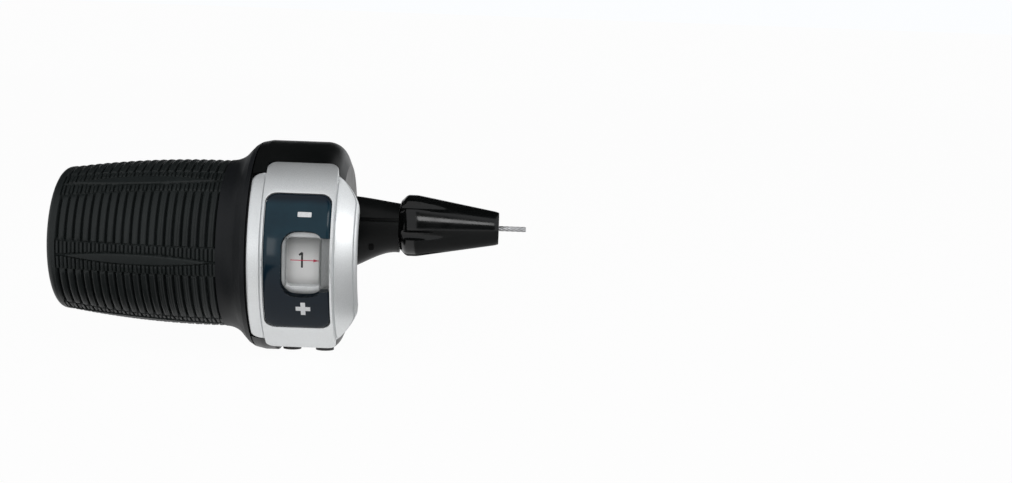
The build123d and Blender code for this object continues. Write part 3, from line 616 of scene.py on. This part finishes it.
def buildPartingLip():
    # flat ring: a rectangle with cut corners, swept round the bar
    (left, right), (inside, outside) = partingLip["x"], partingLip["radius"]
    soft = partingLip["soft"]
    x = np.array([left + soft, left, left, left + soft, right, right])
    radius = np.array([inside, inside + soft, outside - soft, outside, outside, inside])
    angle = np.linspace(0, 2 * np.pi, partingLip["columns"], endpoint=False)
    return [(roundBar(x[:, None], radius[:, None], angle[None, :]), True, True)]


makePiece("partingLip", buildPartingLip(), finishes["black_shell"], "housing")

# Silver cover
cover = {
    "innerRadius": 20.7,
    "floorRadius": 21.9,
    "flangeRadius": 22.9,
    "bandRadius": 23.6,
    "bend": 22.9,  # radius on which arc lengths are measured
    "flangeX": (-10.3, 11.8),
    "flangeAngle": 50.5,
    "flangeCorners": ((4.2, 4.8), 2.2, 2.2, (3.6, 3.6)),
    "bandHalf": 7.4,
    "bandAngle": 58.0,
    "bandCorner": 2.0,
    "bandLap": 0.7,  # how far the flange runs in under the band
    "bandLapCorner": 1.3,
    "recessHalf": 6.9,
    "recessAngle": 37.1,
    "recessCorner": 2.35,
    "seatLap": 0.3,  # how far the lens's seat runs in under the band
    "windowX": (-2.2, 4.8),
    "windowHalf": 5.39,
    "windowCentre": 0.36,
    "windowCorner": 1.0,
    "edges": {"flange": (0.45, 0.05), "band": (0.55, 0.22), "seat": (0.05, 0.12)},  # outer, inner
    "slopeX": 7.4,
    "slopeDrop": 5.4,
    "slopePower": 1.18,
    "slopeLift": 0.02,
    "stripWall": 2.1,
    "stripLeast": 15.6,  # least radius under the strip
    "creaseX": (8.0, 9.4),  # where the fine line along the strip's edge fades in
    "creaseDepth": 0.34,
    "creasePlace": 0.045,  # share of the way in from the edge
    "creaseHalf": 0.03,
    "footX": 7.58,  # fine groove at the foot of the band
    "footHalf": 0.2,
    "footDepth": 0.34,
    "tongueHalf": 6.0,
    "tongueAngle": 92.0,
    "tongueLap": 0.5,
    "tongueCorners": (0.2, 0.2, 1.2, 1.2),
    "tongueWall": 1.3,
    "tongueEdge": 0.3,
    "hookHalf": 5.0,
    "hookAngle": 4.0,
    "hookLap": 1.0,
    "hookCorners": (0.8, 0.8, 0.2, 0.2),
    "hookWall": 1.0,
    "hookEdge": 0.2,
}
edgeTurn = np.linspace(0, np.pi / 2, 5)[:, None]  # quarter turn over a rounded edge
least = 1e-6  # keeps a length from being nought


def roundedOutline(left, right, bottom, top, corners, sides=24, turns=10):
    # closed outline of straight runs and quarter ellipses
    # corners are their reaches: one for all, or four from right top, anticlockwise
    corners = (corners,) * 4 if np.isscalar(corners) else corners
    reach = [np.ones(2) * corner for corner in corners]
    centres = np.array([(right, top), (left, top), (left, bottom), (right, bottom)])
    centres = centres - np.array([(1, 1), (-1, 1), (-1, -1), (1, -1)]) * reach
    quarters = [np.linspace(0, np.pi / 2, turns) + k * np.pi / 2 for k in range(4)]
    circles = [np.stack([np.cos(quarter), np.sin(quarter)], axis=-1) for quarter in quarters]
    arcs = [centre + size * circle for centre, size, circle in zip(centres, reach, circles)]
    share = np.linspace(0, 1, sides + 2)[1:-1, None]
    runs = [a[-1] + (b[0] - a[-1]) * share for a, b in zip(arcs, arcs[1:] + arcs[:1])]
    return np.concatenate([part for pair in zip(arcs, runs) for part in pair])


def drawnIn(outline):
    # the outline drawn in to a short line along its middle
    low, high = outline.min(axis=0), outline.max(axis=0)
    centre, half = (low + high) / 2, (high - low) / 2
    reach = np.maximum(half - half.min(), 0)
    return centre + np.clip(outline - centre, -reach, reach)


def ringShell(outer, inner, topRadius, bottomRadius, edges, way, sunk=None):
    # closed ring between two outlines of (x, arc): up the outer wall, over a rounded edge, across,
    # over the inner edge, down and back; way holds the shares of the top between the two edges
    # radii are functions of x, and sunk is a further drop of the rows of way
    outerEdge, innerEdge = edges
    length = np.linalg.norm(inner - outer, axis=-1)[None, :]
    back = edgeTurn[::-1]
    up = outerEdge * (1 - np.cos(edgeTurn)) + 0 * length
    middle = outerEdge + (length - outerEdge - innerEdge) * way[:, None]
    down = length - innerEdge * (1 - np.cos(back))
    depth = np.concatenate([0 * length, up, middle, down, length, length * 0.5])
    share = (depth / np.maximum(length, least))[..., None]
    place = outer[None] * (1 - share) + inner[None] * share
    x, arc = place[..., 0], place[..., 1]
    first, last = 1 + len(edgeTurn), 1 + len(edgeTurn) + len(way)
    drop = np.zeros_like(x)
    drop[1:first] = outerEdge * (1 - np.sin(edgeTurn))
    drop[last:-2] = innerEdge * (1 - np.sin(back))
    if sunk is not None:
        drop[first:last] = sunk(x[first:last])
    radius = topRadius(x) - drop
    under = [0, -2, -1]
    radius[under] = bottomRadius(x[under])
    return roundBar(x, radius, arc / cover["bend"]), True, True


def blockShell(outline, spine, topRadius, bottomRadius, edge, across=7):
    # closed block: from a line under its middle out to the wall, up, over a rounded edge and in
    length = np.linalg.norm(spine - outline, axis=-1)[None, :]
    below = length * np.linspace(1, 0, across)[:, None]
    over = edge * (1 - np.cos(edgeTurn)) + 0 * length
    above = edge + (length - edge) * np.linspace(0, 1, across)[1:, None]
    depth = np.concatenate([below, over, above])
    share = (depth / np.maximum(length, least))[..., None]
    place = outline[None] * (1 - share) + spine[None] * share
    x, arc = place[..., 0], place[..., 1]
    radius = topRadius(x)
    radius[:across] = bottomRadius(x[:across])
    radius[across:across + len(edgeTurn)] -= edge * (1 - np.sin(edgeTurn))
    return roundBar(x, radius, arc / cover["bend"]), False, True


def flat(value):
    # a radius that is the same at every x
    return lambda x: np.full_like(x, value)


def stripTop(x):
    # level flange, then a slope over the inboard shoulder: its drop is a power of the way along
    share = np.clip((x - cover["slopeX"]) / (cover["flangeX"][1] - cover["slopeX"]), 0, None)
    slope = cover["slopeDrop"] * share ** cover["slopePower"]
    offFoot = np.abs(np.abs(x) - cover["footX"])
    foot = cover["footDepth"] * (1 - ease(0, cover["footHalf"], offFoot))
    return cover["flangeRadius"] - slope + cover["slopeLift"] - foot


def stripUnder(x):
    # one wall below the top, no deeper than the least radius and no higher than the inside
    return np.clip(stripTop(x) - cover["stripWall"], cover["stripLeast"], cover["innerRadius"])


def buildCover():
    # rings for the flange, the band and the lens's seat, with a tongue below and a hook above
    angles = ("flangeAngle", "bandAngle", "recessAngle", "tongueAngle", "hookAngle")
    arcs = [radians(cover[name]) * cover["bend"] for name in angles]
    flangeArc, bandArc, recessArc, tongueArc, hookArc = arcs
    flange = roundedOutline(*cover["flangeX"], -flangeArc, flangeArc, cover["flangeCorners"])
    half, lap = cover["bandHalf"] - cover["bandLap"], flangeArc - cover["bandLap"]
    under = roundedOutline(-half, half, -lap, lap, cover["bandLapCorner"])
    half = cover["bandHalf"]
    band = roundedOutline(-half, half, -bandArc, bandArc, cover["bandCorner"])
    half = cover["recessHalf"]
    recess = roundedOutline(-half, half, -recessArc, recessArc, cover["recessCorner"])
    half, lap = half + cover["seatLap"], recessArc + cover["seatLap"]
    seat = roundedOutline(-half, half, -lap, lap, cover["recessCorner"])
    middle, half = cover["windowCentre"], cover["windowHalf"]
    window = roundedOutline(*cover["windowX"], middle - half, middle + half, cover["windowCorner"])
    half, lap = cover["tongueHalf"], cover["tongueLap"]
    tongue = roundedOutline(-half, half, -tongueArc, lap - bandArc, cover["tongueCorners"])
    half, lap = cover["hookHalf"], cover["hookLap"]
    hook = roundedOutline(-half, half, bandArc - lap, bandArc + hookArc, cover["hookCorners"])

    # rows across the flange, closer together at the crease and at the foot of the band
    nearEdge, nearFoot = np.arange(0.015, 0.1, 0.015), np.arange(0.64, 0.9, 0.02)
    way = np.concatenate([nearEdge, np.linspace(0.14, 0.62, 8), nearFoot])
    line = np.clip(1 - np.abs(way - cover["creasePlace"]) / cover["creaseHalf"], 0, 1)[:, None]

    def crease(x):
        # a v-shaped line that fades in along the bar
        return cover["creaseDepth"] * line * ease(*cover["creaseX"], x)

    inner, edges = cover["innerRadius"], cover["edges"]
    bandWay, seatWay = np.linspace(0, 1, 9)[1:-1], np.linspace(0, 1, 5)[1:-1]
    bandTop, seatTop = flat(cover["bandRadius"]), flat(cover["floorRadius"])
    tongueTop, hookTop = flat(inner + cover["tongueWall"]), flat(inner + cover["hookWall"])
    return [
        ringShell(flange, under, stripTop, stripUnder, edges["flange"], way, crease),
        ringShell(band, recess, bandTop, flat(inner), edges["band"], bandWay),
        ringShell(seat, window, seatTop, flat(inner), edges["seat"], seatWay),
        blockShell(tongue, drawnIn(tongue), tongueTop, flat(inner), cover["tongueEdge"]),
        blockShell(hook, drawnIn(hook), hookTop, flat(inner), cover["hookEdge"]),
    ]


makePiece("coverShell", buildCover(), finishes["silver_paint"], "housing",
          ["cover"], 45)

# Lens with its printed marks
lens = {
    "half": 6.85,
    "angle": 37.0,
    "corner": 2.3,
    "backRadius": 21.96,
    "frontRadius": 23.66,
    "pillow": 0.3,  # how far the front falls away towards the lens's sides
    "edge": 0.55,
    "minus": (1.44, 25.5, 1.42, 0.52),  # x, angle, half width, half height
    "minusCorner": 0.15,
    "plus": (1.4, -23.6, 1.5, 0.48),  # x, angle, half reach, half arm
    "hairline": ((-1.3, 4.6), 0.09, 0.8),  # x range, half width, arc above the middle
    "hairlineCorner": 0.05,
    "pointer": (4.0, 0.55, 0.6),  # x, half length, half width as a share of it
    "markInk": (0.02, 0.06),  # how far ink stands off the front, and its thickness
    "lineInk": (-0.01, 0.03),  # and off the back
    "inkEdge": 0.01,
}


def lensFront(x):
    # level in the middle, falling as the fourth power towards the sides
    return lens["frontRadius"] - lens["pillow"] * (np.abs(x) / lens["half"]) ** 4


def buildLens():
    # curved block: rings that shrink from the outline to the line along its middle
    half, arc = lens["half"], radians(lens["angle"]) * cover["bend"]
    outline = roundedOutline(-half, half, -arc, arc, lens["corner"])
    back = flat(lens["backRadius"])
    return [blockShell(outline, drawnIn(outline), lensFront, back, lens["edge"], 14)]


def printedMark(outline, radius, ink):
    # thin raised patch: its outline shrinks to its middle, on the bend of what carries it
    lift, thickness = ink
    middle = np.broadcast_to(outline.mean(axis=0), outline.shape)

    def face(x):
        return radius(x) + lift

    return blockShell(outline, middle, face, lambda x: face(x) - thickness, lens["inkEdge"], 6)


def dividedSides(corners, count):
    # points on the sides of a closed polygon, each side divided evenly
    corners = np.array(corners)
    sides = np.roll(corners, -1, axis=0) - corners
    share = np.linspace(0, 1, count, endpoint=False)[:, None]
    return (corners[:, None] + sides[:, None] * share).reshape(-1, 2)


def buildMarks():
    # a rounded bar above and a cross below, both printed on the front
    x, angle, half, tall = lens["minus"]
    arc = radians(angle) * cover["bend"]
    minus = roundedOutline(x - half, x + half, arc - tall, arc + tall, lens["minusCorner"], 6, 4)
    x, angle, reach, arm = lens["plus"]
    quarter = np.array([(reach, arm), (arm, arm), (arm, reach)])
    cross = np.concatenate([quarter, quarter[::-1] * (-1, 1), -quarter, quarter[::-1] * (1, -1)])
    plus = dividedSides(cross, 5) + (x, radians(angle) * cover["bend"])
    return [printedMark(outline, lensFront, lens["markInk"]) for outline in (minus, plus)]


def buildHairline():
    # a thin line along the handlebar and a triangle at its end, both printed on the back
    (left, right), half, arc = lens["hairline"]
    line = roundedOutline(left, right, arc - half, arc + half, lens["hairlineCorner"], 12, 3)
    x, reach, slim = lens["pointer"]
    corners = [(x + reach, arc), (x - reach, arc + slim * reach), (x - reach, arc - slim * reach)]
    tip, back = dividedSides(corners, 10), flat(lens["backRadius"])
    return [printedMark(outline, back, lens["lineInk"]) for outline in (line, tip)]


makePiece("lensBlock", buildLens(), finishes["lens"], "housing", ["lens"], 35)
makePiece("lensMarks", buildMarks(), finishes["mark_white"], "housing")
makePiece("indexLine", buildHairline(), finishes["hairline_red"], "housing")

# Numbers on the drum
numbers = {
    "radius": 19.0,
    "height": 3.2,
    "x": 0.7,
    "step": 30.0,  # degrees from one number to the next
    "turn": 0.84,  # degrees from the lens's middle to the first
    "stroke": 0.21,  # half width
    "lift": 0.04,
}


def arcPath(x, y, radius, start, end, count=24):
    # points on a circle's arc between two angles in degrees
    turn = np.radians(np.linspace(start, end, count))
    return np.stack([x + radius * np.cos(turn), y + radius * np.sin(turn)], axis=-1)


def straightPath(*corners):
    # points on straight runs between corners, evenly spread on each
    share = np.linspace(0, 1, 14)[:, None]
    corners = np.array(corners)
    return np.concatenate([a * (1 - share) + b * share for a, b in zip(corners, corners[1:])])


digitStrokes = [  # one digit's strokes in a box one high, about x = 0
    [straightPath((-0.19, 0.82), (0.01, 0.99)), straightPath((0, 1), (0, 0))],
    [np.concatenate([arcPath(0, 0.73, 0.27, 165, -38), straightPath((0.1, 0.42), (-0.26, 0.05))]),
     straightPath((-0.28, 0.04), (0.3, 0.04))],
    [arcPath(0, 0.75, 0.24, 155, -88), arcPath(0, 0.26, 0.27, 88, -155)],
]


def buildNumber(index):
    # each stroke is a thin band of even width along its path, closed at both ends
    # the digit's height becomes arc length on the drum
    grids = []
    for path in digitStrokes[index]:
        along = np.gradient(path, axis=0)
        along = along / np.maximum(np.linalg.norm(along, axis=-1, keepdims=True), least)
        side = np.stack([-along[:, 1], along[:, 0]], axis=-1) * numbers["stroke"]
        middle = ((path - (0, 0.5)) * numbers["height"])[:, None]
        band = middle + side[:, None] * np.array([-1, -1, 1, 1])[None, :, None]
        ends = [np.repeat(end, 4, axis=1) for end in (middle[:1], middle[-1:])]
        place = np.concatenate([ends[0], band, ends[1]])
        radius = numbers["radius"] + numbers["lift"] * np.array([0, 1, 1, 0])[None, :]
        turn = radians(numbers["turn"] + numbers["step"] * index)
        angle = place[..., 1] / numbers["radius"] + turn
        grids.append((roundBar(place[..., 0] + numbers["x"], radius, angle), False, True))
    return grids


for index in range(len(digitStrokes)):
    ink = finishes["number_black"]
    makePiece(f"number{index + 1}", buildNumber(index), ink, "twist_grip")

# Fluted barrel adjuster
exitPlace = (18.858, 2.316)  # y and z of the wire's line out of the housing
barrel = {
    "leftX": 18.3,
    "rightX": 41.0,
    "radius": 7.1,
    "rearRadius": 5.6,
    "rearLength": 1.4,
    "land": 2.4,
    "noseRadius": 3.85,
    "noseEdge": 0.35,
    "noseFall": 0.8,  # how far the radius falls there, as a share of that
    "blend": 0.45,  # half of the length over which corners of the profile are evened out
    "fluteCount": 6,
    "fluteBottom": 5.9,
    "fluteRadius": 1.15,
    "fluteAngle": -10.5,
    "soft": 0.16,  # rounding where a flute meets the outside
    "stemBore": 2.95,
    "stemDepth": 11.7,
    "wireBore": 1.0,
    "seatRadius": 2.6,
    "seatDepth": 6.0,
    "mouth": (0.2, 0.15),  # depth and widening of the bores' mouths
    "columns": 288,
}


def aroundExit(x, radius, angle):
    # cylinder coordinates about the wire's line, the angle upwards from the rider's side
    return roundBar(x, radius, angle) + np.array([0, *exitPlace])


def softLeast(first, second, soft):
    # the lesser of two values, with the corner between them rounded
    return 0.5 * (first + second - np.sqrt((first - second) ** 2 + soft**2))


def buildBarrel():
    # closed profile swept round the wire; outside, the radius is the lesser of taper and flute
    left, right = barrel["leftX"], barrel["rightX"]
    land = left + barrel["rearLength"]
    taper = land + barrel["land"]
    nose = right - barrel["noseEdge"]
    rear, full, tip = barrel["rearRadius"], barrel["radius"], barrel["noseRadius"]
    keyX = np.array([left, land, taper, nose, right])
    keyR = np.array([rear, full, full, tip, tip - barrel["noseEdge"] * barrel["noseFall"]])
    rows = [np.linspace(a, b, count)[1:] for a, b, count in zip(keyX, keyX[1:], (9, 9, 44, 7))]
    outX = np.concatenate([[left], *rows])
    spread = np.linspace(-barrel["blend"], barrel["blend"], 7)
    outR = np.interp(outX[:, None] + spread, keyX, keyR).mean(axis=1)
    outR[[0, -1]] = keyR[[0, -1]]

    seatX, stemX = right - barrel["seatDepth"], left + barrel["stemDepth"]
    seat, wireway, stem = barrel["seatRadius"], barrel["wireBore"], barrel["stemBore"]
    deep, wide = barrel["mouth"]
    inX = np.array([right, right - deep, seatX, seatX, stemX, stemX, left + deep, left])
    inR = np.array([seat + wide, seat, seat, wireway, wireway, stem, stem, stem + wide])

    # a flute is a circle cut into the side, the same all along; off is the angle from its middle
    angle = np.linspace(0, 2 * np.pi, barrel["columns"], endpoint=False)
    lane = 2 * np.pi / barrel["fluteCount"]
    off = (angle - radians(barrel["fluteAngle"]) + lane / 2) % lane - lane / 2
    centre = barrel["fluteBottom"] + barrel["fluteRadius"]
    inside = np.maximum(barrel["fluteRadius"] ** 2 - (centre * np.sin(off)) ** 2, 0)
    beyond = centre * 1.4  # outside the part, so that the taper is the lesser
    flute = np.where(inside > 0, centre * np.cos(off) - np.sqrt(inside), beyond)
    outer = softLeast(outR[:, None], flute[None, :], barrel["soft"])
    radius = np.concatenate([outer, np.repeat(inR[:, None], len(angle), axis=1)])
    x = np.concatenate([outX, inX])[:, None]
    return [(aroundExit(x, radius, angle[None, :]), True, True)]


makePiece("adjusterBarrel", buildBarrel(), finishes["gloss_black"], "adjuster",
          ["barrel_adjuster"])

# Stranded inner wire
wire = {
    "leftX": 7.3,
    "rightX": 47.3,
    "strands": 6,
    "strandRadius": 0.2,
    "layRadius": 0.4,
    "lay": 7.5,  # length of one turn
    "endShare": 0.02,  # width of a strand's closed end, as a share of the strand's
}


def buildWire():
    # strands laid as helices round a straight core, each a circle carried along its path
    along = np.linspace(wire["leftX"], wire["rightX"], 170)
    around = np.linspace(0, 2 * np.pi, 10, endpoint=False)
    closed = [wire["endShare"]]
    radius = wire["strandRadius"] * np.concatenate([closed, np.ones(len(along)), closed])[:, None]
    path = np.concatenate([along[:1], along, along[-1:]])[:, None]

    def strand(phase, offset):
        turn = 2 * np.pi * path / wire["lay"] + phase
        y = exitPlace[0] + offset * np.cos(turn) + radius * np.cos(around)
        z = exitPlace[1] + offset * np.sin(turn) + radius * np.sin(around)
        return np.stack([path + 0 * y, y, z], axis=-1), False, True

    phases = 2 * np.pi * np.arange(wire["strands"]) / wire["strands"]
    return [strand(phase, wire["layRadius"]) for phase in phases] + [strand(0.0, 0.0)]


makePiece("wireEnd", buildWire(), finishes["wire"], "cable", ["cable_end"], 60)
print("pieces made")

# Floor, light and camera
studio = {
    "floorSize": 9000.0,
    "floorTone": 0.75,
    "keep": 0.97,  # share of plain white in what the camera sees of the floor
    "fill": 0.4,  # strength of the world on matt surfaces
    "gloss": 0.86,  # and in what gloss or glass shows
    "sky": (0.97, 0.985, 1.0),
    "darkTone": 0.03,
    "sheetLight": 1.15,  # light tone of a sheet, as a share of its dark one
    "sheetFinish": (0.9, 20.0, 0.1, 0.0),  # roughness, grain, its depth, specular level
    "archRadius": 900.0,
    "archX": (-1400.0, 450.0),
    "archTurn": (12, 100),  # degrees up from behind the part
    "matLift": 1.0,
    "mats": {  # x, y and tone of sheets on the floor that only gloss shows; they are painted shade of the floor, seen in reflections
        # painted shade: grey floor to the right, seen in the strip's and barrel's reflections
        "sideShadeMat": ((22.0, 420.0), (-130.0, 130.0), 0.58),
        # painted shade: dark floor under the grip, seen in its lower panel's reflection
        "gripShadeMat": ((-64.0, -27.0), (-130.0, -10.0), 0.03),
    },
    "cardX": (122.0, 300.0),  # dark card in front, to the right of the camera
    "cardY": -500.0,
    "cardZ": (-20.0, 1000.0),
    "lamps": {  # place, size and power
        "keyLamp": ((-140, -500, 430), (1300, 800), 2.3),
        "leftLamp": ((-148, -420, 58), (90, 130), 0.1),
        "rightLamp": ((190, -430, 340), (100, 150), 0.34),
        "sideLamp": ((420, 20, 70), (160, 90), 0.25),
    },
    "distance": 325.0,
    "lens": 52.6,
    "sensor": 36.0,
    "clip": (0.01, 50.0),  # in metres
    "elevation": 9.6,
    "roll": 2.1,
    "aimX": 42.87,
    "aimUp": 2.5,
}


def seenRays(root, direct, mirrored):
    # how much of the plain white a ray takes: straight from the camera, or by way of gloss or glass
    kinds = ("Is Camera Ray", "Is Glossy Ray", "Is Transmission Ray")
    camera, gloss, clear = (root.node("ShaderNodeLightPath", output=kind) for kind in kinds)
    return (camera * direct).top(gloss.top(clear) * mirrored)


def whiteMaterial(name):
    # matt white that camera, gloss and clear rays see mostly as plain white, so shadows stay faint
    material, root = startMaterial(name)
    tone = (studio["floorTone"],) * 3 + (1,)
    lit = root.node("ShaderNodeBsdfDiffuse", None, {"Color": tone})
    plain = root.node("ShaderNodeEmission", None, {"Color": (1, 1, 1, 1), "Strength": 1.0})
    seen = seenRays(root, studio["keep"], studio["keep"])
    mixed = root.node("ShaderNodeMixShader", None, {0: seen, 1: lit, 2: plain})
    root.node("ShaderNodeOutputMaterial", None, {"Surface": mixed})
    return material


def sheetMaterial(name, tone):
    # dull card without shine
    light = tone * studio["sheetLight"]
    return mouldedPlastic(name, (tone,) * 3, (light,) * 3, *studio["sheetFinish"])


def stageSheet(name, grid, material):
    # open sheet that belongs to the studio and not to the part
    mesh = bpy.data.meshes.new(name)
    faces = gridFaces(*grid.shape[:2], False, False)
    mesh.from_pydata((grid.reshape(-1, 3) * mm).tolist(), [], faces.tolist())
    mesh.materials.append(material)
    sheet = bpy.data.objects.new(name, mesh)
    bpy.context.scene.collection.objects.link(sheet)
    return sheet


def levelGrid(x, y, z):
    # four corners of a level rectangle
    corners = np.meshgrid(np.array(x), np.array(y), indexing="ij")
    return np.stack([*corners, np.full((2, 2), z)], axis=-1)


def softLamp(name, place, size, power):
    # rectangle of light that faces the part
    light = bpy.data.lights.new(name, "AREA")
    light.shape = "RECTANGLE"
    light.size, light.size_y = size[0] * mm, size[1] * mm
    light.energy = power
    lamp = bpy.data.objects.new(name, light)
    bpy.context.scene.collection.objects.link(lamp)
    lamp.location = Vector(place) * mm
    lamp.rotation_euler = (-Vector(place)).to_track_quat("-Z", "Y").to_euler()
    return lamp


floorReach = (-studio["floorSize"] / 2, studio["floorSize"] / 2)
floorZ = cadBox[0][2] / mm  # the part's lowest point stands on it
stageSheet("floor", levelGrid(floorReach, floorReach, floorZ), whiteMaterial("floor_white"))

# dark arch over the part from behind, so that black plastic stays black; only the camera misses it
darkSheet = sheetMaterial("dark_sheet", studio["darkTone"])
archTurn = np.radians(np.linspace(*studio["archTurn"], 23))[:, None]
archGrid = roundBar(np.array([studio["archX"]]), -studio["archRadius"], -archTurn)
arch = stageSheet("darkArch", archGrid, darkSheet)
arch.visible_camera = False

# card that only gloss shows, and mats that put painted shade of the floor into what gloss shows
cardGrid = levelGrid(studio["cardX"], studio["cardZ"], studio["cardY"])[..., [0, 2, 1]]
sheets = [stageSheet("darkCard", cardGrid, darkSheet)]
for name, (x, y, tone) in studio["mats"].items():
    matGrid = levelGrid(x, y, floorZ + studio["matLift"])
    sheets.append(stageSheet(name, matGrid, sheetMaterial(name, tone)))
for sheet in sheets:
    sheet.visible_camera = sheet.visible_diffuse = sheet.visible_shadow = False

world = bpy.data.worlds.new("studio")
bpy.context.scene.world = world
world.use_nodes = True
world.node_tree.nodes.clear()
sky = Socket(world.node_tree)
strength = seenRays(sky, 1.0, studio["gloss"]).top(studio["fill"])
air = sky.node("ShaderNodeBackground", None, {"Color": (*studio["sky"], 1), "Strength": strength})
sky.node("ShaderNodeOutputWorld", None, {"Surface": air})

lamps = {name: softLamp(name, *values) for name, values in studio["lamps"].items()}
lamps["keyLamp"].visible_glossy = False  # silver mirrors the white surroundings instead

# the camera's axes: right, top and back, turned up by the elevation and then rolled
up, roll = radians(studio["elevation"]), radians(studio["roll"])
level, lift, back = Vector((1, 0, 0)), Vector((0, sin(up), cos(up))), Vector((0, -cos(up), sin(up)))
right, top = level * cos(roll) + lift * sin(roll), lift * cos(roll) - level * sin(roll)
aim = level * studio["aimX"] + top * studio["aimUp"]
eye = (aim + back * studio["distance"]) * mm
lensData = bpy.data.cameras.new("camera")
lensData.lens, lensData.sensor_width = studio["lens"], studio["sensor"]
lensData.clip_start, lensData.clip_end = studio["clip"]
camera = bpy.data.objects.new("camera", lensData)
bpy.context.scene.collection.objects.link(camera)
camera.matrix_world = Matrix.Translation(eye) @ Matrix((right, top, back)).transposed().to_4x4()
bpy.context.scene.camera = camera
bpy.context.scene.view_settings.view_transform = "Standard"
print("studio ready")
